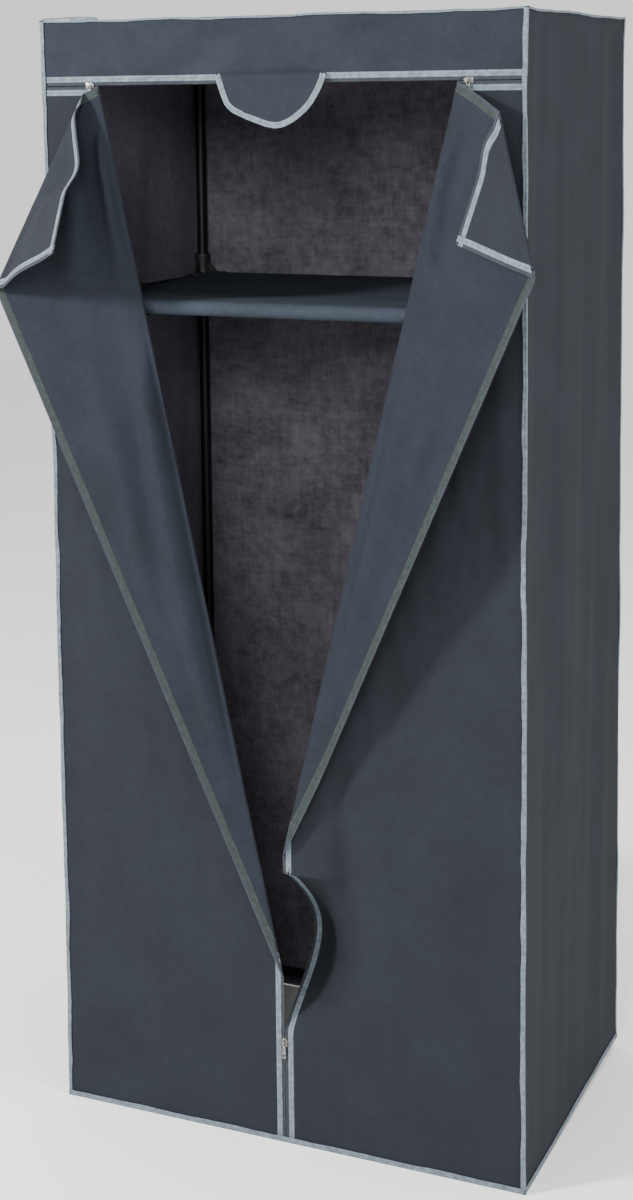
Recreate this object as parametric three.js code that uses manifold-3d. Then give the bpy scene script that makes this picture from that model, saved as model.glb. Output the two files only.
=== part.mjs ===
// Portable fabric wardrobe: a plug-together frame of steel tubes under a zipped cloth cover.
// Millimetres, +Z up, the doors face -Y. Both doors are unzipped and turned back.
import Module from 'manifold-3d';
import * as THREE from 'three';
import { mergeVertices } from 'three/addons/utils/BufferGeometryUtils.js';

// Cover, outside sizes
const coverWidth = 700;
const coverDepth = 460;
const coverHeight = 1560;
const clothThickness = 0.8;
const bindingWidth = 8;
const bindingReturn = 3;
const bindingThickness = 1.6;
const valanceHeight = 90;
const hemLift = 4;
const hemRearRise = 14;
const topSag = 7;
const seamGap = 0.3;

// Soft folds of the walls, all drawn in towards the frame
const sideFoldDepth = 5;
const backFoldDepth = 5;
const valanceCrease = 3;
const doorFoldDepth = 4;

// Frame
const tubeRadius = 8;
const tubeWall = 0.9;
const spigotLength = 30;
const spigotWall = 0.8;
const postInset = 22;
const bottomRailHeight = 34;
const lowerPostTop = 600;
const shelfHeight = 1168;
const tubeFit = 0.3;

// Moulded connectors
const socketWall = 3;
const socketDepth = 26;
const socketStop = 13;
const collarWidth = 6;
const collarRise = 1;
const webThickness = 3;
const webReach = 15;
const footRadius = 15;
const footHeight = 14;
const footChamfer = 3;
const capHeight = 13;

// Shelf and hanging rail
const shelfSag = 7;
const shelfThickness = 1.2;
const sleeveRadius = 10;
const railDrop = 27;
const hookWidth = 22;
const hookWall = 3;
const hookMouth = 100;
const cupDepth = 22;
const cupStop = 3;

// Zips
const coilGap = 1.1;
const coilWidth = 1.5;
const coilThickness = 1.8;
const zipReveal = 5;
const stepWidth = 0.1;

// Sliders and their pulls
const sliderLength = 13;
const sliderWidth = 8.6;
const sliderNose = 3.4;
const wingThickness = 0.8;
const wingGap = 2.4;
const flangeWidth = 0.6;
const flangeDepth = 0.5;
const flangeInset = 0.7;
const dividerWidth = 1.6;
const dividerLength = 4;
const bridgeLength = 6.4;
const bridgeWidth = 1.6;
const bridgeRise = 3.2;
const bridgeBar = 0.8;
const bridgeLeg = 1.2;
const pullLength = 24;
const topPullLength = 19;
const pullWidth = 5.8;
const pullThickness = 1;
const pullArm = 1;
const pullEye = 5;
const sliderHeight = 148;

// Valance tab
const tabWidth = 160;
const tabLength = 70;
const tabRollRadius = 2.9;
const tabClearance = 0.4;

// Turned-back doors: where each fold line starts on the top edge and ends on the centre zip,
// how far the lapel and its corner are turned, and where the corner's own fold line lies.
// The cloth beside the top slider stays in the door's plane, and so does the fold's foot,
// which the centre slider passes: their sizes down, across and up.
const foldLift = 1;
const foldGap = 0.3;
const apexDrop = 64;
const apexWidth = 32;
const footRise = 24;
const leftFoldInset = 89;
const leftFoldEnd = 235;
const leftSliderLead = 12;
const rightFoldInset = 88;
const rightFoldEnd = 395;
const rightSliderLead = 2;
const curlDepth = 105;
const curlReach = 190;
const curlBottom = 162;
const curlTop = 374;

// Facets
const tubeSides = 12;
const arcSides = 16;
const mergeTolerance = 1e-3;

// Values worked out from the sizes above
const halfWidth = coverWidth / 2;
const halfDepth = coverDepth / 2;
const wallInset = bindingThickness + seamGap + clothThickness / 2;
const wallX = halfWidth - wallInset;
const wallY = halfDepth - wallInset;
const wallTop = coverHeight - bindingThickness - seamGap;
const postX = halfWidth - postInset;
const postY = halfDepth - postInset;
const topRailHeight = coverHeight - bindingThickness - seamGap - capHeight;
const socketBore = tubeRadius + tubeFit;
const socketRadius = socketBore + socketWall;
const tubeStart = socketStop + tubeFit;
const zipHeight = coverHeight - valanceHeight;
const hangingRailHeight = shelfHeight - railDrop;
const doorEdge = wallX - clothThickness / 2 - seamGap;
const doorY = -wallY;
const bindingInner = halfWidth - bindingThickness;
const coilEnd = coilGap + coilWidth;
const bandEnd = zipReveal + bindingWidth;
const zipEnd = halfWidth - bindingWidth - seamGap - stepWidth;
const zipFoot = hemLift + bindingWidth + seamGap + stepWidth;
const leftFold = {
  side: -1, start: halfWidth - leftFoldInset, end: leftFoldEnd, turn: 174, cornerTurn: 130,
  cornerTopShare: 0.06, cornerEdgeShare: 0.16,
};
const rightFold = {
  side: 1, start: halfWidth - rightFoldInset, end: rightFoldEnd, turn: 148, cornerTurn: 172,
  cornerTopShare: 0.34, cornerEdgeShare: 0.13,
};

const wasm = await Module();
wasm.setup();

const material = (color, roughness, metalness = 0) =>
  new THREE.MeshStandardMaterial({ color, roughness, metalness });
const coverCloth = material(0x4a515c, 0.95);
const liningCloth = material(0x45434c, 0.97);
const bindingTape = material(0xa3adb2, 0.85);
const blackSteel = material(0x141416, 0.4, 0.6);
const blackPlastic = material(0x18181a, 0.55);
const nickel = material(0xc9c4ba, 0.3, 1);

// Solids and meshes

const EMPTY = new THREE.Vector3();

function signedVolume(position, index) {
  const [a, b, c] = [0, 1, 2].map(() => new THREE.Vector3());
  let volume = 0;
  for (let i = 0; i < index.length; i += 3) {
    a.fromBufferAttribute(position, index[i]);
    b.fromBufferAttribute(position, index[i + 1]);
    c.fromBufferAttribute(position, index[i + 2]);
    volume += a.dot(b.cross(c)) / 6;
  }
  return volume;
}

// Any closed three.js geometry as a solid, with its faces pointing out.
function solidOf(geometry) {
  const bare = geometry.index ? geometry.toNonIndexed() : geometry.clone();
  ['normal', 'uv'].forEach((name) => bare.deleteAttribute(name));
  const merged = mergeVertices(bare, mergeTolerance);
  const source = merged.index.array;
  const inward = signedVolume(merged.attributes.position, source) < 0;
  const corners = [];
  for (let i = 0; i < source.length; i += 3) {
    const [a, b, c] = [source[i], source[i + 1], source[i + 2]];
    if (a !== b && b !== c && c !== a) corners.push(a, inward ? c : b, inward ? b : c);
  }
  return new wasm.Manifold(new wasm.Mesh({
    numProp: 3,
    vertProperties: new Float32Array(merged.attributes.position.array),
    triVerts: new Uint32Array(corners),
  }));
}

function geometryOf(solid) {
  const mesh = solid.getMesh();
  return new THREE.BufferGeometry()
    .setAttribute('position', new THREE.BufferAttribute(mesh.vertProperties, 3))
    .setIndex(new THREE.BufferAttribute(mesh.triVerts, 1));
}

const joined = (solids) => solids.reduce((whole, solid) => whole.add(solid));

const wardrobe = new THREE.Group();

function addPart(name, solid, finish, parent = wardrobe, pivot = EMPTY) {
  const geometry = geometryOf(solid);
  geometry.computeVertexNormals();
  const mesh = new THREE.Mesh(geometry, finish);
  mesh.name = name;
  mesh.position.copy(pivot).negate();
  parent.add(mesh);
  return mesh;
}

// Profiles: revolved about +Z, or drawn in a plane and given a thickness about its middle.

function revolved(profile, sides = tubeSides) {
  const points = profile.map(([radius, height]) => new THREE.Vector2(radius, height));
  return new THREE.LatheGeometry([...points, points[0].clone()], sides).rotateX(Math.PI / 2);
}

function extruded(shape, thickness, curveSegments = arcSides) {
  const settings = { depth: thickness, bevelEnabled: false, curveSegments };
  return new THREE.ExtrudeGeometry(shape, settings).translate(0, 0, -thickness / 2);
}

const outline = (points) => new THREE.Shape(points.map(([a, b]) => new THREE.Vector2(a, b)));
// Drawn across X and Z, seen from the front.
const frontPlate = (shape, thickness) => extruded(shape, thickness).rotateX(Math.PI / 2);
// Drawn across Y and Z, seen from the right.
const sidePlate = (shape, thickness) =>
  extruded(shape, thickness).rotateX(Math.PI / 2).rotateZ(Math.PI / 2);
const rectangle = (left, bottom, right, top) =>
  outline([[left, bottom], [right, bottom], [right, top], [left, top]]);

// Frame

const AXES = {
  up: [0, 0, 1], down: [0, 0, -1], left: [-1, 0, 0], right: [1, 0, 0], front: [0, -1, 0], back: [0, 1, 0],
};
const Z_AXIS = new THREE.Vector3(0, 0, 1);

function aimed(geometry, direction) {
  const turn = new THREE.Quaternion().setFromUnitVectors(Z_AXIS, new THREE.Vector3(...direction));
  return geometry.applyQuaternion(turn);
}

function tube(length) {
  const inside = tubeRadius - tubeWall;
  return revolved([[inside, 0], [tubeRadius, 0], [tubeRadius, length], [inside, length]]);
}

// A post with a reduced end that plugs into the post below it.
function spigotTube(length) {
  const inside = tubeRadius - tubeWall;
  const spigot = inside - tubeFit;
  const bore = spigot - spigotWall;
  const shoulder = tubeFit;
  return revolved([
    [bore, -spigotLength], [spigot, -spigotLength], [spigot, shoulder], [tubeRadius, shoulder + tubeWall],
    [tubeRadius, length], [inside, length], [inside, shoulder + 2 * tubeWall], [bore, shoulder + tubeWall],
  ]);
}

// One sleeve of a connector, with a collar round its mouth and a stop for the tube's end.
function socket(direction) {
  const mouth = socketStop + socketDepth;
  const collar = socketRadius + collarRise;
  return solidOf(aimed(revolved([
    [0, -socketWall], [socketRadius, -socketWall], [socketRadius, mouth - collarWidth],
    [collar, mouth], [socketBore, mouth], [socketBore, socketStop], [0, socketStop],
  ]), direction));
}

// The web that stiffens the corner between two sleeves.
function web(first, second) {
  const near = socketRadius - socketWall / 2;
  const reach = socketRadius + webReach;
  const shape = outline([[near, near], [reach, near], [near, reach]]);
  const basis = new THREE.Matrix4().makeBasis(
    new THREE.Vector3(...first),
    new THREE.Vector3(...second),
    new THREE.Vector3(...first).cross(new THREE.Vector3(...second)),
  );
  return solidOf(extruded(shape, webThickness).applyMatrix4(basis));
}

function connector(directions, extra = []) {
  const sleeves = directions.map((name) => socket(AXES[name]));
  const [upright, ...level] = directions.filter((name) => name !== 'up' || !directions.includes('down'));
  const webs = level.map((name) => web(AXES[upright], AXES[name]));
  return joined([...sleeves, ...webs, ...extra]);
}

function foot() {
  const top = footHeight - bottomRailHeight;
  return solidOf(revolved([
    [0, -bottomRailHeight], [footRadius - footChamfer, -bottomRailHeight],
    [footRadius, footChamfer - bottomRailHeight], [footRadius, top - footChamfer],
    [socketRadius, top], [socketRadius, webThickness], [0, webThickness],
  ]));
}

function domedCap() {
  return solidOf(revolved([
    [0, -webThickness / 2], [socketRadius, -webThickness / 2], [socketRadius, capHeight - 2 * collarRise],
    [socketRadius - 2 * collarRise, capHeight], [0, capHeight],
  ]));
}

function addFrame() {
  const corners = [['front', 'left'], ['front', 'right'], ['rear', 'left'], ['rear', 'right']];
  const shelfJoint = shelfHeight - tubeStart;
  for (const [row, hand] of corners) {
    const x = hand === 'left' ? -postX : postX;
    const y = row === 'front' ? -postY : postY;
    const inward = [hand === 'left' ? 'right' : 'left', row === 'front' ? 'back' : 'front'];
    const label = `${row}_${hand}`;
    const place = (name, solid, z, finish) => {
      addPart(`${name}_${label}`, solid, finish).position.set(x, y, z);
    };
    place('foot_connector', connector(['up', ...inward], [foot()]), bottomRailHeight, blackPlastic);
    place('shelf_connector', connector(['down', 'up', ...inward]), shelfHeight, blackPlastic);
    place('top_connector', connector(['down', ...inward], [domedCap()]), topRailHeight, blackPlastic);
    const lowerStart = bottomRailHeight + tubeStart;
    place('lower_post', solidOf(tube(lowerPostTop - lowerStart)), lowerStart, blackSteel);
    place('middle_post', solidOf(spigotTube(shelfJoint - lowerPostTop)), lowerPostTop, blackSteel);
    const upperStart = shelfHeight + tubeStart;
    place('upper_post', solidOf(tube(topRailHeight - tubeStart - upperStart)), upperStart, blackSteel);
  }
  addRails();
}

function addRails() {
  const levels = { bottom: bottomRailHeight, shelf: shelfHeight, top: topRailHeight };
  const acrossLength = 2 * (postX - tubeStart);
  const alongLength = 2 * (postY - tubeStart);
  for (const [level, height] of Object.entries(levels)) {
    for (const [row, y] of [['front', -postY], ['rear', postY]]) {
      const rail = aimed(tube(acrossLength), AXES.right).translate(-acrossLength / 2, y, height);
      addPart(`${level}_rail_${row}`, solidOf(rail), blackSteel);
    }
    for (const [hand, x] of [['left', -postX], ['right', postX]]) {
      const rail = aimed(tube(alongLength), AXES.back).translate(x, -alongLength / 2, height);
      addPart(`${level}_rail_${hand}`, solidOf(rail), blackSteel);
    }
  }
}

// Hanging rail and the two hooks that carry it on the side rails of the shelf

function railHook(side) {
  const inner = tubeRadius + tubeFit;
  const outer = inner + hookWall;
  const mouthHalf = THREE.MathUtils.degToRad(hookMouth) / 2;
  const mouthMiddle = -Math.PI / 2 + THREE.MathUtils.degToRad(hookMouth) / 2;
  const ring = new THREE.Shape();
  ring.absarc(0, 0, outer, mouthMiddle + mouthHalf, mouthMiddle - mouthHalf + 2 * Math.PI, false);
  ring.absarc(0, 0, inner, mouthMiddle - mouthHalf + 2 * Math.PI, mouthMiddle + mouthHalf, true);
  const cupRadius = socketBore + hookWall;
  const cupEnd = -inner;
  const cup = aimed(revolved([
    [0, 0], [cupRadius, 0], [cupRadius, cupDepth],
    [socketBore, cupDepth], [socketBore, cupStop], [0, cupStop],
  ]), AXES.left).translate(cupEnd + cupStop, 0, -railDrop);
  const bore = new THREE.CylinderGeometry(inner, inner, coverDepth, 2 * tubeSides);
  const stem = outline([
    [-inner, 0], [-outer, 0], [-outer - cupDepth / 2, cupRadius - railDrop - hookWall / 2],
    [cupEnd + cupStop, cupRadius - railDrop - hookWall / 2], [cupEnd + cupStop, -inner],
  ]);
  const hook = joined([
    solidOf(frontPlate(ring, hookWidth)),
    solidOf(cup),
    solidOf(frontPlate(stem, hookWidth / 2)).subtract(solidOf(bore)),
  ]);
  return side > 0 ? hook : solidOf(geometryOf(hook).scale(-1, 1, 1));
}

function addHangingRail() {
  for (const [hand, side] of [['left', -1], ['right', 1]]) {
    addPart(`rail_hook_${hand}`, railHook(side), blackPlastic).position.set(side * postX, 0, shelfHeight);
  }
  const end = postX - (tubeRadius + tubeFit) - tubeFit;
  const rail = aimed(tube(2 * end), AXES.right).translate(-end, 0, hangingRailHeight);
  addPart('hanging_rail', solidOf(rail), blackSteel);
}

// Cloth: a grid of points on the middle of the cloth, with its thickness laid off along one axis.

const sampled = (from, to, steps) =>
  Array.from({ length: steps + 1 }, (_, i) => THREE.MathUtils.lerp(from, to, i / steps));

function gridFaces(across, up) {
  const layer = across * up;
  const faces = [];
  for (let j = 0; j + 1 < up; j += 1) {
    for (let i = 0; i + 1 < across; i += 1) {
      const [a, b, c, d] = [0, 1, across, across + 1].map((step) => j * across + i + step);
      faces.push(a, b, d, a, d, c);
      faces.push(layer + a, layer + d, layer + b, layer + a, layer + c, layer + d);
    }
  }
  return faces;
}

function gridRim(across, up) {
  const layer = across * up;
  const last = layer - 1;
  const loop = [
    ...Array.from({ length: across - 1 }, (_, i) => i),
    ...Array.from({ length: up - 1 }, (_, j) => (j + 1) * across - 1),
    ...Array.from({ length: across - 1 }, (_, i) => last - i),
    ...Array.from({ length: up - 1 }, (_, j) => (up - 1 - j) * across),
  ];
  return loop.flatMap((from, i) => {
    const to = loop[(i + 1) % loop.length];
    return [to, from, layer + from, to, layer + from, layer + to];
  });
}

function clothSheet(columns, rows, middle, thickness, axis) {
  const positions = [];
  for (const side of [1, -1]) {
    for (const v of rows) {
      for (const u of columns) {
        const offset = new THREE.Vector3(...axis).multiplyScalar(side * thickness(u, v) / 2);
        positions.push(...offset.add(new THREE.Vector3(...middle(u, v))).toArray());
      }
    }
  }
  const geometry = new THREE.BufferGeometry();
  geometry.setAttribute('position', new THREE.Float32BufferAttribute(positions, 3));
  geometry.setIndex([...gridFaces(columns.length, rows.length), ...gridRim(columns.length, rows.length)]);
  return solidOf(geometry);
}

const plainCloth = () => clothThickness;
const faded = (distance, reach) => THREE.MathUtils.smoothstep(distance, 0, reach);

// Soft upright folds: each has its place across, its lean, its width and its depth, as shares.
const sideFoldShares = [[-0.66, 0.1, 0.13, 0.8], [-0.12, -0.14, 0.17, 1], [0.42, 0.1, 0.12, 0.75]];
const backFoldShares = [
  [-0.7, 0.1, 0.1, 0.8], [-0.36, -0.05, 0.08, 1], [0.2, 0.12, 0.14, 0.8], [0.66, -0.1, 0.12, 0.9],
];
const doorFoldShares = [[0.2, 0.14, 0.1, 1], [0.55, 0.2, 0.14, 0.9], [0.85, 0.04, 0.1, 0.7]];
const valanceFoldShares = [[-0.6, 0.1, 0.12, 0.5], [0.28, 0.3, 0.07, 1], [0.7, -0.1, 0.12, 0.6]];
const foldFade = 26;

function foldSum(shares, across, up) {
  return shares.reduce((sum, [place, lean, width, depth]) => {
    const away = (across - place - lean * up) / width;
    return sum + depth * Math.exp(-away * away);
  }, 0);
}

const hemAt = (y) => hemLift + hemRearRise * faded(y + halfDepth, coverDepth);
const heightShare = (z) => z / coverHeight;
const fadedUp = (z, bottom) => faded(z - bottom, foldFade) * faded(wallTop - z, foldFade);

// Bound edges of the cover

function upright(points, bottom, top) {
  const prism = extruded(outline(points), top - bottom).translate(0, 0, (top + bottom) / 2);
  return solidOf(prism);
}

function cornerBinding(side, end, onFront, onSide, bottom) {
  const face = halfDepth - bindingThickness;
  const seat = wallX + seamGap / 2;
  const points = [
    [halfWidth - onFront, halfDepth], [halfWidth, halfDepth], [halfWidth, halfDepth - onSide],
    [seat, halfDepth - onSide], [seat, face], [halfWidth - onFront, face],
  ].map(([x, y]) => [side * x, end * y]);
  return upright(points, bottom, coverHeight - bindingWidth - seamGap);
}

function sideWall(side) {
  const edge = wallY + clothThickness / 2;
  const middle = (y, share) => {
    const z = THREE.MathUtils.lerp(hemAt(y), wallTop, share);
    const fade = faded(edge - Math.abs(y), foldFade) * fadedUp(z, hemAt(y));
    const fold = sideFoldDepth * Math.min(1, foldSum(sideFoldShares, y / halfDepth, heightShare(z)));
    return [side * (wallX - fold * fade), y, z];
  };
  const sheet = clothSheet(sampled(-edge, edge, 16), sampled(0, 1, 10), middle, plainCloth, AXES.right);
  const rise = bindingWidth + seamGap;
  return joined([
    sheet,
    cornerBinding(side, -1, bindingWidth, bindingReturn, hemAt(-halfDepth + bindingReturn) + rise),
    cornerBinding(side, 1, bindingReturn, bindingWidth, hemAt(halfDepth) + rise),
  ]);
}

function backWall() {
  const bottom = hemAt(halfDepth);
  const middle = (x, share) => {
    const z = THREE.MathUtils.lerp(bottom, wallTop, share);
    const fade = faded(doorEdge - Math.abs(x), foldFade) * fadedUp(z, bottom);
    const fold = backFoldDepth * Math.min(1, foldSum(backFoldShares, x / halfWidth, heightShare(z)));
    return [x, wallY - fold * fade, z];
  };
  return clothSheet(sampled(-doorEdge, doorEdge, 22), sampled(0, 1, 9), middle, plainCloth, AXES.back);
}

function rectangleRing(outerX, outerY, innerX, innerY, bottom, top) {
  const corners = (x, y) => [[-x, -y], [x, -y], [x, y], [-x, y]];
  return upright(corners(outerX, outerY), bottom, top).subtract(
    upright(corners(innerX, innerY), bottom - bindingWidth, top + bindingWidth),
  );
}

function topPanel() {
  const flangeX = halfWidth - bindingWidth;
  const flangeY = halfDepth - bindingWidth;
  const under = wallTop + seamGap;
  const edgeX = flangeX + bindingThickness;
  const edgeY = flangeY + bindingThickness;
  const middle = (x, y) => {
    const share = faded(edgeX - Math.abs(x), flangeX) * faded(edgeY - Math.abs(y), flangeY);
    return [x, y, under + clothThickness / 2 - topSag * share];
  };
  const [columns, rows] = [sampled(-edgeX, edgeX, 11), sampled(-edgeY, edgeY, 8)];
  const cloth = clothSheet(columns, rows, middle, plainCloth, AXES.up);
  const ringInnerY = halfDepth - bindingThickness;
  return joined([
    rectangleRing(halfWidth, halfDepth, bindingInner, ringInnerY, coverHeight - bindingWidth, coverHeight),
    rectangleRing(halfWidth, halfDepth, flangeX, flangeY, under, coverHeight),
    cloth,
  ]);
}

// The hem's binding runs right round, and rises a little towards the rear.
function hemBinding() {
  const along = 10;
  const ys = sampled(-halfDepth, halfDepth, along);
  const stations = [
    ...ys.map((y) => [halfWidth, y]), ...[...ys].reverse().map((y) => [-halfWidth, y]),
  ];
  const innerShareX = bindingInner / halfWidth;
  const innerShareY = (halfDepth - bindingThickness) / halfDepth;
  const positions = stations.flatMap(([x, y]) => {
    const bottom = hemAt(y);
    const top = bottom + bindingWidth;
    const [innerX, innerY] = [x * innerShareX, y * innerShareY];
    return [x, y, bottom, x, y, top, innerX, innerY, top, innerX, innerY, bottom];
  });
  const index = stations.flatMap((_, i) => {
    const next = (i + 1) % stations.length;
    return [0, 1, 2, 3].flatMap((k) => {
      const after = (k + 1) % 4;
      const [a, b, c, d] = [[i, k], [i, after], [next, after], [next, k]].map(([s, n]) => 4 * s + n);
      return [a, b, c, a, c, d];
    });
  });
  const geometry = new THREE.BufferGeometry();
  geometry.setAttribute('position', new THREE.Float32BufferAttribute(positions, 3));
  geometry.setIndex(index);
  return solidOf(geometry);
}

// Zips: the cloth's thickness by its distance from the line where both halves meet.
const zipProfile = [
  [coilGap, coilThickness], [coilEnd, coilThickness], [coilEnd + stepWidth, clothThickness],
  [zipReveal - stepWidth, clothThickness], [zipReveal, bindingThickness],
  [bandEnd, bindingThickness], [bandEnd + stepWidth, clothThickness],
];
const zipDistances = zipProfile.map(([distance]) => distance);

function zipThickness(distance) {
  const next = zipProfile.findIndex(([reach]) => distance < reach);
  if (next < 0) return clothThickness;
  if (next === 0) return coilThickness;
  const [[start, before], [end, after]] = [zipProfile[next - 1], zipProfile[next]];
  return THREE.MathUtils.mapLinear(distance, start, end, before, after);
}

const besideZip = (x) => Math.abs(x) > zipEnd + stepWidth / 2;

function doorThickness(x, z) {
  const atTop = besideZip(x) ? clothThickness : zipThickness(zipHeight - z);
  const atCentre = z < zipFoot ? clothThickness : zipThickness(Math.abs(x));
  return Math.max(atTop, atCentre);
}

function valance() {
  const half = [...sampled(0, zipEnd, 8).slice(1), zipEnd + stepWidth, doorEdge];
  const columns = [...half.map((x) => -x).reverse(), 0, ...half];
  const lowest = zipHeight + bandEnd + stepWidth;
  const edgeRows = zipDistances.map((distance) => zipHeight + distance);
  const rows = [...edgeRows, ...sampled(lowest, wallTop, 4).slice(1)];
  const middle = (x, z) => {
    const fade = faded(doorEdge - Math.abs(x), foldFade) * fadedUp(z, lowest);
    const fold = Math.min(1, foldSum(valanceFoldShares, x / halfWidth, (z - zipHeight) / valanceHeight));
    return [x, doorY + valanceCrease * fold * fade, z];
  };
  const thickness = (x, z) => (besideZip(x) ? clothThickness : zipThickness(z - zipHeight));
  return clothSheet(columns, rows, middle, thickness, AXES.back);
}

// Doors: each is cut into the part that stays, the lapel and the lapel's corner.

function foldPoints(fold) {
  const top = new THREE.Vector2(fold.side * fold.start, zipHeight);
  const foot = new THREE.Vector2(0, fold.end);
  const corner = new THREE.Vector2(0, zipHeight);
  return {
    top, foot, corner,
    apexFoot: foot.clone().sub(top).setLength(apexDrop).add(top),
    apexTop: corner.clone().sub(top).setLength(apexWidth).add(top),
    footEdge: new THREE.Vector2(0, fold.end + footRise),
    footFold: foot.clone().lerp(top, footRise / (zipHeight - fold.end)),
    cornerTop: top.clone().lerp(corner, fold.cornerTopShare),
    cornerEdge: corner.clone().lerp(foot, fold.cornerEdgeShare),
  };
}

// Everything on one side of the line from a to b, at least the gap away from it.
function sideOfLine(a, b, inside) {
  const along = b.clone().sub(a).normalize();
  const normal = new THREE.Vector2(-along.y, along.x);
  if (inside.clone().sub(a).dot(normal) < 0) normal.negate();
  const reach = 2 * coverHeight;
  const corner = (alongBy, outBy) =>
    a.clone().addScaledVector(along, alongBy).addScaledVector(normal, outBy).toArray();
  const points = [
    corner(-reach, foldGap), corner(reach, foldGap), corner(reach, reach), corner(-reach, reach),
  ];
  return solidOf(frontPlate(outline(points), 2 * coverDepth));
}

function curl(fold, x, z) {
  if (fold.side < 0) return 0;
  const share = THREE.MathUtils.clamp((z - curlBottom) / (curlTop - curlBottom), 0, 1);
  return curlDepth * Math.sin(Math.PI * share) ** 2 * (1 - faded(x, curlReach));
}

function doorMiddle(fold, x, z) {
  const { top, foot } = foldPoints(fold);
  const line = foot.clone().sub(top).normalize();
  const fromLine = Math.abs(line.cross(new THREE.Vector2(x, z).sub(top)));
  const fade = faded(doorEdge - Math.abs(x), foldFade) * faded(Math.abs(x) - bandEnd, foldFade)
    * faded(z - zipFoot, foldFade) * faded(zipHeight - bandEnd - z, foldFade) * faded(fromLine, 2 * foldFade);
  const folds = Math.min(1, foldSum(doorFoldShares, Math.abs(x) / halfWidth, heightShare(z)));
  return [x, doorY + doorFoldDepth * folds * fade + curl(fold, x, z), z];
}

function doorColumns(fold, coarse) {
  const start = bandEnd + stepWidth;
  const columns = [...zipDistances, ...sampled(start, zipEnd, coarse).slice(1), zipEnd + stepWidth, doorEdge];
  return fold.side > 0 ? columns : columns.map((x) => -x).reverse();
}

function standingDoor(fold) {
  const { top, foot, apexFoot, apexTop, footEdge, footFold } = foldPoints(fold);
  const highest = zipHeight - bandEnd - stepWidth;
  const rows = [
    hemLift, zipFoot - stepWidth, ...sampled(zipFoot, curlBottom, 3),
    ...sampled(curlBottom, curlTop, 8).slice(1), ...sampled(curlTop, highest, 9).slice(1),
    ...zipDistances.slice(0, -1).map((distance) => zipHeight - distance).reverse(),
  ];
  const middle = (x, z) => doorMiddle(fold, x, z);
  const sheet = clothSheet(doorColumns(fold, 7), rows, middle, doorThickness, AXES.back);
  const outside = new THREE.Vector2(fold.side * coverWidth, zipHeight);
  const kept = [
    sideOfLine(top, foot, outside), sideOfLine(apexTop, apexFoot, top), sideOfLine(footFold, footEdge, foot),
  ];
  return sheet.intersect(joined(kept));
}

function flatDoor(fold) {
  const rows = [
    hemLift, zipFoot - stepWidth, zipFoot, zipHeight - bandEnd - stepWidth,
    ...zipDistances.slice(0, -1).map((distance) => zipHeight - distance).reverse(),
  ];
  return clothSheet(doorColumns(fold, 1), rows, (x, z) => [x, doorY, z], doorThickness, AXES.back);
}

const inPlane = (point, lift) => new THREE.Vector3(point.x, doorY + lift, point.y);

function turnedGroup(parent, parentPivot, pivot, from, to, degrees) {
  const group = new THREE.Group();
  const axis = inPlane(from, 0).sub(inPlane(to, 0)).normalize();
  group.position.copy(pivot).sub(parentPivot);
  group.quaternion.setFromAxisAngle(axis, THREE.MathUtils.degToRad(degrees));
  parent.add(group);
  return group;
}

function addDoor(fold, hand) {
  const points = foldPoints(fold);
  const { top, foot, corner, apexFoot, apexTop, footEdge, footFold, cornerTop, cornerEdge } = points;
  addPart(`door_${hand}`, standingDoor(fold), coverCloth);
  const flap = flatDoor(fold).intersect(sideOfLine(top, foot, corner));
  const lapel = [
    sideOfLine(cornerTop, cornerEdge, foot),
    sideOfLine(apexTop, apexFoot, foot),
    sideOfLine(footFold, footEdge, corner),
  ].reduce((cloth, side) => cloth.intersect(side), flap);
  const lapelPivot = inPlane(top, -foldLift);
  const lapelGroup = turnedGroup(wardrobe, EMPTY, lapelPivot, top, foot, fold.side * fold.turn);
  addPart(`lapel_${hand}`, lapel, liningCloth, lapelGroup, lapelPivot);
  const cornerPiece = flap
    .intersect(sideOfLine(cornerTop, cornerEdge, corner))
    .intersect(sideOfLine(apexTop, apexFoot, foot));
  const cornerPivot = inPlane(cornerTop, foldLift);
  const cornerTurn = -fold.side * fold.cornerTurn;
  const cornerGroup = turnedGroup(lapelGroup, lapelPivot, cornerPivot, cornerTop, cornerEdge, cornerTurn);
  addPart(`corner_${hand}`, cornerPiece, coverCloth, cornerGroup, cornerPivot);
}

// Zip sliders: the body lies along +Z with its nose up, the pull hangs down from the bridge.

function sliderBody() {
  const [half, end] = [sliderWidth / 2, sliderLength / 2];
  const shoulder = end - sliderNose;
  const tail = half - flangeWidth;
  const wing = outline([
    [-tail, -end], [tail, -end], [half, -shoulder], [half, shoulder], [sliderNose / 2, end],
    [0, end - wingThickness], [-sliderNose / 2, end], [-half, shoulder], [-half, -shoulder],
  ]);
  const middle = (wingGap + wingThickness) / 2;
  const rail = (across, depth) => {
    const [left, right] = [across, across + Math.sign(across) * flangeWidth];
    const bar = rectangle(Math.min(left, right), -end, Math.max(left, right), shoulder);
    return frontPlate(bar, flangeDepth + wingThickness / 2).translate(0, depth, 0);
  };
  const railMiddle = wingGap / 2 - flangeDepth / 2 + wingThickness / 4;
  const railSide = half - flangeInset - flangeWidth;
  const [dividerHalf, dividerEnd] = [dividerWidth / 2, dividerLength / 2];
  const divider = rectangle(-dividerHalf, shoulder - dividerEnd, dividerHalf, shoulder + dividerEnd);
  return joined([
    ...[-middle, middle].map((y) => solidOf(frontPlate(wing, wingThickness).translate(0, y, 0))),
    ...[[-railSide, -railMiddle], [-railSide, railMiddle], [railSide, -railMiddle], [railSide, railMiddle]]
      .map(([x, y]) => solidOf(rail(x, y))),
    solidOf(frontPlate(divider, 2 * middle)),
  ]);
}

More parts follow.
